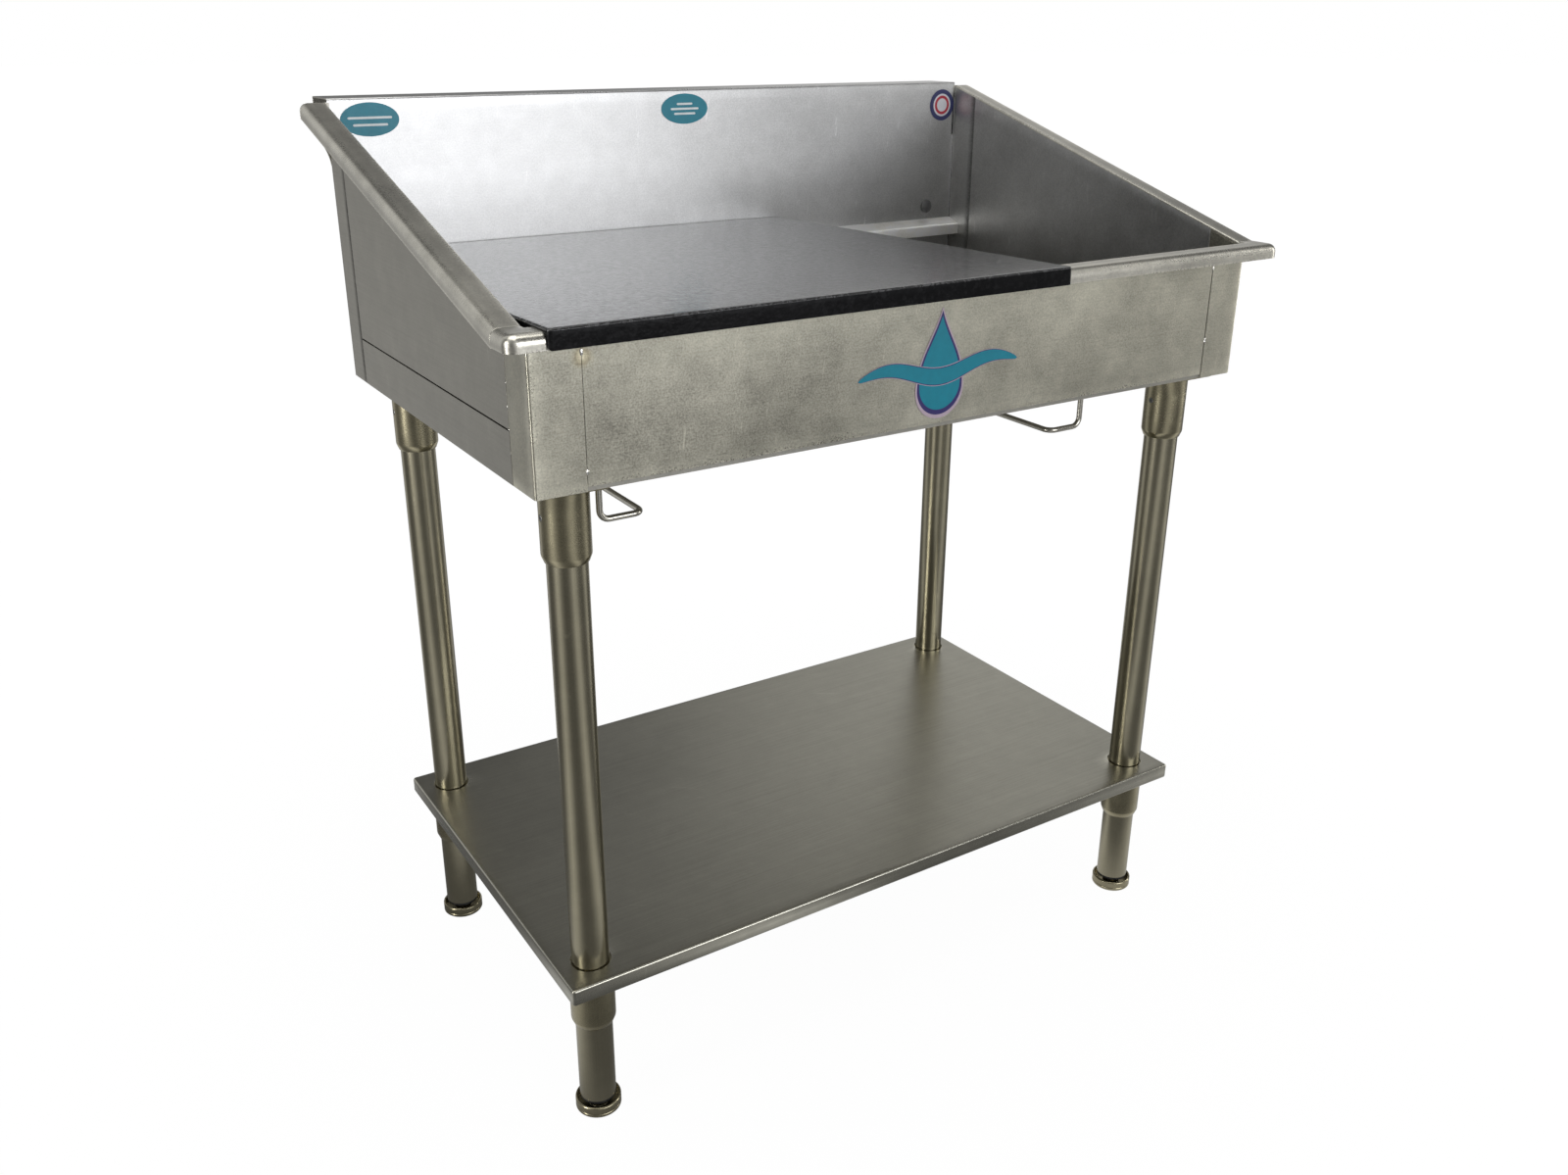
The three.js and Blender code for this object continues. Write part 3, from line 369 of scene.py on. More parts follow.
def bead(centre: Sequence[float], size: Sequence[float], seed: int = 0) -> Skin:
    """A small lump of weld metal: an ellipsoid whose radius ripples by a few per cent.

    Args:
        centre: Its middle.
        size: Half sizes along X, Y and Z.
        seed: Shifts the ripples.

    Returns:
        The lump's skin.
    """
    around = steps_round(16)
    up = ramp(-math.pi / 2, math.pi / 2, 9)
    a, b = np.meshgrid(around, up, indexing="ij")
    swell = 1 + 0.09 * np.sin(3 * a + seed) * np.cos(b) + 0.07 * np.sin(5 * b + 2 * seed) * np.cos(b)
    shape = np.stack([np.cos(a) * np.cos(b), np.sin(a) * np.cos(b), np.sin(b)], axis=-1)
    points = np.asarray(centre) + shape * swell[..., None] * np.asarray(size)
    return Skin().grid(points, wrap_u=True, wear=np.ones(points.shape[:2]))


# ---------------------------------------------------------------- shader building


class Graph:
    """Short calls for placing and joining shader nodes in one tree."""

    def __init__(self, tree: bpy.types.NodeTree) -> None:
        """Takes the tree to build in."""
        self.tree = tree

    def node(self, kind: str, inputs: Optional[dict] = None, **settings: object) -> bpy.types.Node:
        """Adds a node, sets its properties and sets or links its inputs.

        Args:
            kind: The node's type name after ShaderNode.
            inputs: Socket name or number to a value, or to an output socket to link.
            settings: Properties of the node.

        Returns:
            The new node.
        """
        made = self.tree.nodes.new(f"ShaderNode{kind}")
        for key, value in settings.items():
            setattr(made, key, value)
        for key, value in (inputs or {}).items():
            if isinstance(value, bpy.types.NodeSocket):
                self.tree.links.new(value, made.inputs[key])
            else:
                made.inputs[key].default_value = value
        return made

    def math(self, operation: str, a: object, b: object = 0.0) -> bpy.types.NodeSocket:
        """The result of one Math node."""
        return self.node("Math", {0: a, 1: b}, operation=operation).outputs[0]

    def plus(self, a: object, b: object) -> bpy.types.NodeSocket:
        """The sum of two values."""
        return self.math("ADD", a, b)

    def times(self, a: object, b: object) -> bpy.types.NodeSocket:
        """The product of two values."""
        return self.math("MULTIPLY", a, b)

    def join(self, value: bpy.types.NodeSocket, node: bpy.types.Node, label: str) -> None:
        """Links a value to a node's input."""
        self.tree.links.new(value, node.inputs[label])

    def span(
        self, value: object, from_low: float, from_high: float, to_low: float, to_high: float
    ) -> bpy.types.NodeSocket:
        """A value mapped from one range to another, and kept within it."""
        inputs = {
            "Value": value, "From Min": from_low, "From Max": from_high, "To Min": to_low, "To Max": to_high
        }
        return self.node("MapRange", inputs).outputs["Result"]

    def noise(
        self, vector: object, scale: float, detail: float = 3.0, rough: float = 0.55
    ) -> bpy.types.NodeSocket:
        """Value noise at a scale in cells per metre."""
        inputs = {"Vector": vector, "Scale": scale, "Detail": detail, "Roughness": rough}
        return self.node("TexNoise", inputs).outputs["Fac"]

    def stretch(self, vector: object, scale: object) -> bpy.types.NodeSocket:
        """A vector multiplied by another."""
        return self.node("VectorMath", {0: vector, 1: scale}, operation="MULTIPLY").outputs[0]

    def blend(self, factor: object, a: object, b: object, mode: str = "MIX") -> bpy.types.NodeSocket:
        """Two colours mixed by a factor."""
        mix = self.node("Mix", data_type="RGBA", blend_type=mode)
        sockets = {0: factor, 6: a, 7: b}
        for number, value in sockets.items():
            if isinstance(value, bpy.types.NodeSocket):
                self.tree.links.new(value, mix.inputs[number])
            else:
                mix.inputs[number].default_value = value
        return mix.outputs[2]


class Wanted(Enum):
    """Kinds of socket on a shader group."""

    NUMBER = "NodeSocketFloat"
    VECTOR = "NodeSocketVector"
    COLOUR = "NodeSocketColor"


def new_group(
    name: str, takes: dict[str, Wanted], gives: dict[str, Wanted]
) -> tuple[Graph, dict, bpy.types.Node]:
    """An empty shader group with named sockets.

    Args:
        name: The group's name.
        takes: Input names and kinds.
        gives: Output names and kinds.

    Returns:
        The graph, the input sockets by name and the group's output node.
    """
    tree = bpy.data.node_groups.new(name, "ShaderNodeTree")
    for label, kind in takes.items():
        tree.interface.new_socket(name=label, in_out="INPUT", socket_type=kind.value)
    for label, kind in gives.items():
        tree.interface.new_socket(name=label, in_out="OUTPUT", socket_type=kind.value)
    source = tree.nodes.new("NodeGroupInput")
    target = tree.nodes.new("NodeGroupOutput")
    return Graph(tree), {label: source.outputs[label] for label in takes}, target


def mill_steel_group() -> bpy.types.NodeTree:
    """Stainless sheet's surface: broad clouds, blotches, fine speckle, grain, scratches and worn edges; the
    wear value also paints highlights, and paints shade where it is below 0.
    """
    takes = {
        "Vector": Wanted.VECTOR,
        "Grain": Wanted.VECTOR,
        "Tone": Wanted.COLOUR,
        "Clouds": Wanted.NUMBER,
        "Speckle": Wanted.NUMBER,
        "Brush": Wanted.NUMBER,
        "Scratches": Wanted.NUMBER,
        "Roughness": Wanted.NUMBER,
        "Wear": Wanted.NUMBER,
    }
    gives = {"Color": Wanted.COLOUR, "Roughness": Wanted.NUMBER, "Height": Wanted.NUMBER}
    g, take, out = new_group("mill_steel_surface", takes, gives)
    place = take["Vector"]
    cloud = g.noise(place, 5.5, 5.0, 0.62)
    blotch = g.noise(place, 38.0, 4.0, 0.6)
    speck = g.noise(place, 520.0, 2.0, 0.7)
    brushed = g.noise(g.stretch(place, take["Grain"]), 1.0, 2.0, 0.6)
    tilt = g.node("VectorRotate", {"Vector": place, "Axis": (0.3, 0.5, 1.0), "Angle": 0.7}).outputs[0]
    long_marks = g.noise(g.stretch(tilt, (14.0, 700.0, 14.0)), 1.0, 1.0, 0.5)
    scratch = g.times(g.span(long_marks, 0.70, 0.76, 0.0, 1.0), g.span(blotch, 0.5, 0.6, 0.0, 1.0))
    scratch = g.times(scratch, take["Scratches"])
    broad = g.times(g.span(cloud, 0.3, 0.7, -1.0, 1.0), take["Clouds"])
    middle = g.times(g.span(blotch, 0.3, 0.7, -0.6, 0.6), take["Clouds"])
    fine = g.times(g.span(speck, 0.3, 0.7, -1.0, 1.0), take["Speckle"])
    lines = g.times(g.span(brushed, 0.3, 0.7, -1.0, 1.0), take["Brush"])
    total = g.plus(g.plus(broad, middle), g.plus(fine, lines))
    # The wear value brightens worn edges and painted highlights; below 0 it darkens the steel as painted
    # shade.
    worn = g.times(take["Wear"], g.span(blotch, 0.35, 0.6, 0.7, 1.0))
    gain = g.plus(g.plus(total, 1.0), g.plus(g.times(worn, 0.55), scratch))
    grey = g.node("CombineColor", {0: gain, 1: gain, 2: gain}).outputs[0]
    colour = g.blend(1.0, take["Tone"], grey, "MULTIPLY")
    uneven = g.plus(g.times(broad, 0.35), g.times(fine, 0.3))
    dull = g.math("SUBTRACT", g.plus(take["Roughness"], uneven), g.times(worn, 0.1))
    height = g.plus(g.times(speck, take["Speckle"]), g.times(brushed, take["Brush"]))
    height = g.math("SUBTRACT", height, g.times(scratch, 0.4))
    for label, value in {
        "Color": colour, "Roughness": g.math("MAXIMUM", dull, 0.12), "Height": height
    }.items():
        g.join(value, out, label)
    return g.tree


def heat_tint_group() -> bpy.types.NodeTree:
    """The halo that welding leaves: a pale spot inside a straw ring inside a blue-grey ring."""
    takes = {
        "Vector": Wanted.VECTOR, "Centre": Wanted.VECTOR, "Radius": Wanted.NUMBER, "Base": Wanted.COLOUR
    }
    g, take, out = new_group("weld_heat_tint", takes, {"Color": Wanted.COLOUR})
    away = g.node(
        "VectorMath", {0: take["Vector"], 1: take["Centre"]}, operation="DISTANCE"
    ).outputs["Value"]
    ripple = g.span(g.noise(take["Vector"], 90.0, 3.0), 0.3, 0.7, 0.8, 1.2)
    reach = g.math("DIVIDE", g.times(away, ripple), take["Radius"])
    tint = g.node("ValToRGB", {"Fac": reach})
    stops = tint.color_ramp
    stops.elements[0].position = 0.0
    stops.elements[0].color = (1.75, 1.72, 1.62, 1)
    stops.elements[1].position = 1.0
    stops.elements[1].color = (1, 1, 1, 1)
    for place, colour in (
        (0.25, (1.35, 1.28, 1.1, 1)), (0.5, (0.86, 0.8, 0.7, 1)), (0.75, (1.05, 1.04, 1.0, 1))
    ):
        stop = stops.elements.new(place)
        stop.color = colour
    g.join(g.blend(1.0, take["Base"], tint.outputs["Color"], "MULTIPLY"), out, "Color")
    return g.tree


# ---------------------------------------------------------------- finishes


class Grain(Enum):
    """Direction of a sheet's or tube's grain, as noise cells per metre along X, Y and Z."""

    ALONG_X = (7.0, 950.0, 950.0)
    ALONG_Y = (950.0, 7.0, 950.0)
    ALONG_Z = (950.0, 950.0, 5.0)
    TURNED = (300.0, 300.0, 1400.0)


@dataclass(frozen=True)
class Finish:
    """A finish with a name, from which one material is made."""

    name: str

    def start(self) -> tuple[bpy.types.Material, Graph, bpy.types.Node, bpy.types.NodeSocket]:
        """A new material with its shader and an object-coordinate vector.

        Returns:
            The material, its graph, its shader and the coordinates.
        """
        material = bpy.data.materials.new(self.name)
        material.use_nodes = True
        graph = Graph(material.node_tree)
        shader = material.node_tree.nodes["Principled BSDF"]
        place = graph.node("TexCoord").outputs["Object"]
        return material, graph, shader, place

    @staticmethod
    def bump(
        graph: Graph, shader: bpy.types.Node, height: bpy.types.NodeSocket, strength: float, depth: float
    ) -> None:
        """Feeds a height through a Bump node to the shader's normal."""
        inputs = {"Height": height, "Strength": strength, "Distance": depth}
        graph.join(graph.node("Bump", inputs).outputs[0], shader, "Normal")


@dataclass(frozen=True)
class SteelFinish(Finish):
    """Stainless steel in some state of polish and wear."""

    group: bpy.types.NodeTree
    tone: tuple[float, float, float] = (0.36, 0.345, 0.29)
    grain: Grain = Grain.ALONG_X
    clouds: float = 0.1
    speckle: float = 0.08
    brush: float = 0.05
    scratches: float = 0.25
    roughness: float = 0.36
    wear: float = 1.0
    bump_strength: float = 0.25
    tint: Optional[bpy.types.NodeTree] = None
    tint_centre: tuple[float, float, float] = (0.0, 0.0, 0.0)
    tint_radius: float = 0.03

    def make(self) -> bpy.types.Material:
        """Builds the steel from the shared surface group."""
        material, g, shader, place = self.start()
        worn = g.node("Attribute", attribute_name="wear").outputs["Fac"]
        inputs = {
            "Vector": place,
            "Grain": self.grain.value,
            "Tone": (*self.tone, 1.0),
            "Clouds": self.clouds,
            "Speckle": self.speckle,
            "Brush": self.brush,
            "Scratches": self.scratches,
            "Roughness": self.roughness,
            "Wear": g.times(worn, self.wear),
        }
        surface = g.tree.nodes.new("ShaderNodeGroup")
        surface.node_tree = self.group
        for label, value in inputs.items():
            if isinstance(value, bpy.types.NodeSocket):
                g.join(value, surface, label)
            else:
                surface.inputs[label].default_value = value
        colour = surface.outputs["Color"]
        if self.tint is not None:
            halo = g.tree.nodes.new("ShaderNodeGroup")
            halo.node_tree = self.tint
            g.join(place, halo, "Vector")
            g.join(colour, halo, "Base")
            halo.inputs["Centre"].default_value = self.tint_centre
            halo.inputs["Radius"].default_value = self.tint_radius
            colour = halo.outputs["Color"]
        g.join(colour, shader, "Base Color")
        g.join(surface.outputs["Roughness"], shader, "Roughness")
        shader.inputs["Metallic"].default_value = 1.0
        self.bump(g, shader, surface.outputs["Height"], self.bump_strength, 0.15 * MM)
        return material


@dataclass(frozen=True)
class PowderCoatFinish(Finish):
    """Glossy textured powder coat: an orange-peel skin with small pits."""

    tone: tuple[float, float, float] = (0.006, 0.006, 0.0065)
    roughness: float = 0.2
    specular: float = 0.75
    lacquer: float = 0.35
    glints: float = 0.17
    cells: float = 420.0
    depth: float = 0.3 * MM

    def make(self) -> bpy.types.Material:
        """Builds the coat from two sizes of rounded bumps and scattered pits."""
        material, g, shader, place = self.start()
        pebble = g.node(
            "TexVoronoi", {"Vector": place, "Scale": self.cells}, feature="SMOOTH_F1"
        ).outputs["Distance"]
        peel = g.noise(place, 170.0, 3.0, 0.6)
        pits = g.span(g.noise(place, 420.0, 1.0), 0.68, 0.76, 0.0, 1.0)
        height = g.math("SUBTRACT", g.plus(g.times(pebble, -0.55), peel), g.times(pits, 0.5))
        worn = g.node("Attribute", attribute_name="wear").outputs["Fac"]
        rub = g.times(worn, g.span(g.noise(place, 160.0, 4.0), 0.5, 0.62, 0.0, 1.0))
        dust = g.span(g.noise(place, 9.0, 5.0), 0.35, 0.7, 0.0, 0.02)
        # Pale speckle painted into the colour as highlight glints: painted highlight, on top of real rub and
        # dust.
        glint = g.span(g.noise(place, 260.0, 2.0, 0.7), 0.5, 0.68, 0.0, self.glints)
        rub_dust_and_glints = g.math("MAXIMUM", g.times(rub, 0.3), g.plus(dust, glint))
        colour = g.blend(rub_dust_and_glints, (*self.tone, 1.0), (0.25, 0.25, 0.26, 1.0))
        g.join(colour, shader, "Base Color")
        rough = g.plus(
            g.span(peel, 0.3, 0.7, self.roughness - 0.05, self.roughness + 0.07), g.times(rub, 0.15)
        )
        g.join(rough, shader, "Roughness")
        shader.inputs["Specular IOR Level"].default_value = self.specular
        shader.inputs["Coat Weight"].default_value = self.lacquer
        shader.inputs["Coat Roughness"].default_value = 0.12
        self.bump(g, shader, height, 0.7, self.depth)
        return material


@dataclass(frozen=True)
class PolymerFinish(Finish):
    """Moulded rubber or nylon with a fine matt grain and a little dust."""

    tone: tuple[float, float, float] = (0.012, 0.012, 0.012)
    roughness: float = 0.6
    grain: float = 900.0

    def make(self) -> bpy.types.Material:
        """Builds the polymer from fine grain and broad dust."""
        material, g, shader, place = self.start()
        fine = g.noise(place, self.grain, 2.0)
        dust = g.span(g.noise(place, 55.0, 5.0), 0.45, 0.75, 0.0, 0.35)
        pale = tuple(0.12 + 0.6 * value for value in self.tone)
        g.join(g.blend(dust, (*self.tone, 1.0), (*pale, 1.0)), shader, "Base Color")
        g.join(g.span(fine, 0.3, 0.7, self.roughness - 0.08, self.roughness + 0.12), shader, "Roughness")
        self.bump(g, shader, fine, 0.4, 0.05 * MM)
        return material


@dataclass(frozen=True)
class FilmFinish(Finish):
    """Printed film whose rings are drawn by the wear attribute: 0 inside, 1 at the outer edge."""

    stops: tuple[tuple[float, tuple[float, float, float]], ...] = ((0.0, (0.0, 0.26, 0.36)),)
    roughness: float = 0.38

    def make(self) -> bpy.types.Material:
        """Builds the print from hard colour steps, with faint mottling and a soft sheen."""
        material, g, shader, place = self.start()
        reach = g.node("Attribute", attribute_name="wear").outputs["Fac"]
        bands = g.node("ValToRGB", {"Fac": reach})
        bands.color_ramp.interpolation = "CONSTANT"
        elements = bands.color_ramp.elements
        elements[0].position, elements[0].color = self.stops[0][0], (*self.stops[0][1], 1.0)
        elements.remove(elements[1])
        for place_of, colour in self.stops[1:]:
            stop = elements.new(place_of)
            stop.color = (*colour, 1.0)
        mottle = g.span(g.noise(place, 140.0, 4.0), 0.3, 0.7, 0.93, 1.05)
        grey = g.node("CombineColor", {0: mottle, 1: mottle, 2: mottle}).outputs[0]
        g.join(g.blend(1.0, bands.outputs["Color"], grey, "MULTIPLY"), shader, "Base Color")
        fine = g.noise(place, 600.0, 2.0)
        g.join(g.span(fine, 0.3, 0.7, self.roughness - 0.05, self.roughness + 0.08), shader, "Roughness")
        self.bump(g, shader, fine, 0.15, 0.03 * MM)
        return material


@dataclass(frozen=True)
class BrassFinish(Finish):
    """Cast and machined brass, a little tarnished."""

    tone: tuple[float, float, float] = (0.5, 0.36, 0.15)

    def make(self) -> bpy.types.Material:
        """Builds the brass from tarnish clouds and casting grain."""
        material, g, shader, place = self.start()
        tarnish = g.span(g.noise(place, 120.0, 5.0), 0.4, 0.65, 0.0, 0.7)
        cast = g.noise(place, 800.0, 3.0)
        g.join(g.blend(tarnish, (*self.tone, 1.0), (0.2, 0.13, 0.06, 1.0)), shader, "Base Color")
        g.join(g.plus(g.times(tarnish, 0.3), 0.32), shader, "Roughness")
        shader.inputs["Metallic"].default_value = 1.0
        self.bump(g, shader, cast, 0.3, 0.08 * MM)
        return material


@dataclass
class FinishShelf:
    """All the object's finishes, made once."""

    made: dict[str, bpy.types.Material] = field(default_factory=dict)

    def stock(self, sizes: "TubSizes") -> "FinishShelf":
        """Makes every material.

        Args:
            sizes: The tub's sizes, which place the weld's heat tint.

        Returns:
            This shelf.
        """
        steel = mill_steel_group()
        tint = heat_tint_group()
        apron_tone = (0.455, 0.44, 0.365)
        bright_tone = (0.52, 0.52, 0.515)
        rim_tone = (0.5, 0.485, 0.43)
        weld_spot = (-sizes.seam_x, sizes.front, sizes.rim - 32 * MM)
        finishes: list[Finish] = [
            SteelFinish(
                "apron_sheet", steel, apron_tone, clouds=0.18, speckle=0.2, roughness=0.4, tint=tint,
                tint_centre=weld_spot, tint_radius=13 * MM,
            ),
            SteelFinish(
                "side_sheet", steel, (0.4, 0.388, 0.345), Grain.ALONG_Y, clouds=0.07, speckle=0.06,
                roughness=0.42,
            ),
            SteelFinish(
                "basin_sheet", steel, bright_tone, clouds=0.09, speckle=0.13, brush=0.02, roughness=0.38,
                scratches=0.35,
            ),
            SteelFinish("rim_sheet", steel, rim_tone, clouds=0.14, speckle=0.14, roughness=0.36),
            # The ledge's sheet has a far paler tone than the other steel: a painted highlight along the
            # ledge.
            SteelFinish("ledge_lit_sheet", steel, (0.9, 0.89, 0.85), clouds=0.12, speckle=0.1, roughness=0.5),
            SteelFinish(
                "shelf_sheet", steel, (0.36, 0.35, 0.3), clouds=0.05, speckle=0.04, brush=0.09,
                roughness=0.33,
            ),
            SteelFinish(
                "leg_tube", steel, (0.4, 0.37, 0.27), Grain.ALONG_Z, clouds=0.07, speckle=0.03, brush=0.05,
                roughness=0.24, bump_strength=0.08,
            ),
            SteelFinish(
                "socket_steel", steel, (0.38, 0.345, 0.235), Grain.ALONG_Z, clouds=0.12, speckle=0.07,
                brush=0.05, roughness=0.28, bump_strength=0.1,
            ),
            SteelFinish(
                "turned_steel", steel, (0.45, 0.415, 0.31), Grain.TURNED, clouds=0.1, speckle=0.05,
                brush=0.07, roughness=0.28, bump_strength=0.12,
            ),
            SteelFinish("thread_steel", steel, (0.3, 0.3, 0.29), Grain.TURNED, roughness=0.38),
            SteelFinish(
                "rod_steel", steel, (0.52, 0.5, 0.44), Grain.ALONG_Y, clouds=0.06, speckle=0.05, brush=0.05,
                roughness=0.24,
            ),
            SteelFinish(
                "weld_metal", steel, (0.75, 0.74, 0.7), clouds=0.15, speckle=0.15, roughness=0.26, wear=0.2
            ),
            PowderCoatFinish("platform_coat"),
            # A copy of the coat for the skirt, with almost no specular, no lacquer and few glints, so that it
            # reads dark: painted shade.
            PowderCoatFinish("platform_lip_shaded_coat", specular=0.06, lacquer=0.0, glints=0.01),
            PolymerFinish("rubber"),
            PolymerFinish("nylon", (0.006, 0.006, 0.006), 0.45, 500.0),
            PolymerFinish("grey_plug", (0.05, 0.05, 0.05), 0.5),
            BrassFinish("nut_brass"),
            FilmFinish("oval_film", ((0.0, (0.0, 0.215, 0.3)),)),
            FilmFinish(
                "badge_film",
                (
                    (0.0, (0.62, 0.62, 0.66)), (0.42, (0.42, 0.03, 0.05)), (0.6, (0.62, 0.62, 0.66)),
                    (0.72, (0.03, 0.035, 0.12)),
                ),
            ),
            FilmFinish(
                "drop_film",
                ((0.0, (0.0, 0.23, 0.32)), (0.84, (0.03, 0.02, 0.14)), (0.93, (0.5, 0.4, 0.48))),
            ),
            FilmFinish("bar_film", ((0.0, (0.78, 0.83, 0.84)),)),
        ]
        self.made = {finish.name: finish.make() for finish in finishes}
        return self

    def dress(self, piece: bpy.types.Object, finish: str) -> None:
        """Puts one finish on a piece or a CAD node."""
        piece.data.materials.clear()
        piece.data.materials.append(self.made[finish])

    def dress_faces(self, piece: bpy.types.Object, finishes: Sequence[str], index: Array) -> None:
        """Adds finishes to a dressed piece. Each face takes the one that its index names, from 0."""
        for finish in finishes:
            piece.data.materials.append(self.made[finish])
        piece.data.polygons.foreach_set("material_index", index.astype(np.int32))
        piece.data.update()


@dataclass
class Workshop:
    """Where finished pieces are placed, dressed and reported."""

    nodes: dict[str, bpy.types.Object]
    shelf: FinishShelf

    def fit(
        self,
        piece: bpy.types.Object,
        finish: str,
        slot: str,
        body: str = ROOT,
        replaces: Sequence[str] = (),
    ) -> bpy.types.Object:
        """Dresses a piece, lets it ride on its body and hides the nodes it stands for."""
        self.shelf.dress(piece, finish)
        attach(piece, body)
        if replaces:
            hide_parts(*replaces)
        LOG.info("%s: %d faces, on %s", piece.name, len(piece.data.polygons), body)
        return piece

    def keep(self, node: str, finish: str) -> None:
        """Keeps a CAD node's shape and dresses it."""
        self.shelf.dress(self.nodes[node], finish)
        LOG.info("%s: kept", node)


# ---------------------------------------------------------------- tub


@dataclass(frozen=True)
class TubSizes:
    """The tub's sizes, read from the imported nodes' boxes."""

    half_length: float
    front: float
    back: float
    floor: float
    apron_foot: float
    rim: float
    kink: float
    side_slope: float
    back_top: float
    seam_x: float
    corner_end: float
    wing_start: float
    band_top: float

    @classmethod
    def measure(cls) -> "TubSizes":
        """Reads the boxes. The side rim's slope is its rise over its run behind the kink."""
        front_low, front_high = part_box("front_panel")
        corner_low, corner_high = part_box("front_right_corner")
        side_low, side_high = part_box("right_side_panel")
        back_low, back_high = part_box("back_panel")
        return cls(
            half_length=corner_high.x,
            front=corner_low.y,
            back=back_high.y - BACK_FLANGE,
            floor=corner_low.z,
            apron_foot=front_low.z,
            rim=front_high.z,
            kink=front_high.y,
            side_slope=(side_high.z - front_high.z) / (side_high.y - front_high.y),
            back_top=back_high.z,
            seam_x=corner_low.x - GAP,
            corner_end=corner_high.y,
            wing_start=back_low.y,
            band_top=side_low.z,
        )

    def rim_top(self, y: Array | float) -> Array:
        """Height of the side rim's top: level to the kink, then a straight slope."""
        return self.rim + np.maximum(0.0, np.asarray(y, float) - self.kink) * self.side_slope


def rim_section(lip: float) -> tuple[Array, Array]:
    """Rolled rim's section: over the basin's bend, out, round the roll and down the lip.

    Returns:
        Pairs of distance out from the wall's basin face and height against the top, and the wear at each.
    """
    reach = RIM_WIDTH + SHEET
    bend = arc((BEND, -BEND), BEND, 180, 90, 5)
    flat = np.stack([ramp(BEND, reach - RIM_ROLL, 6)[1:-1], np.zeros(4)], axis=1)
    roll = arc((reach - RIM_ROLL, -RIM_ROLL), RIM_ROLL, 90, 0, 9)
    skirt = np.stack([np.full(4, reach), ramp(-RIM_ROLL, -lip, 5)[1:]], axis=1)
    points = np.concatenate([bend, flat, roll, skirt])
    crest = 0.55 + 0.45 * np.sin(ramp(0, math.pi, 9))
    wear = np.concatenate([ramp(0.5, 1, 5), [0.35, 0.1, 0.1, 0.3], crest, [0.3, 0.2, 0.4, 1.0]])
    return points, wear


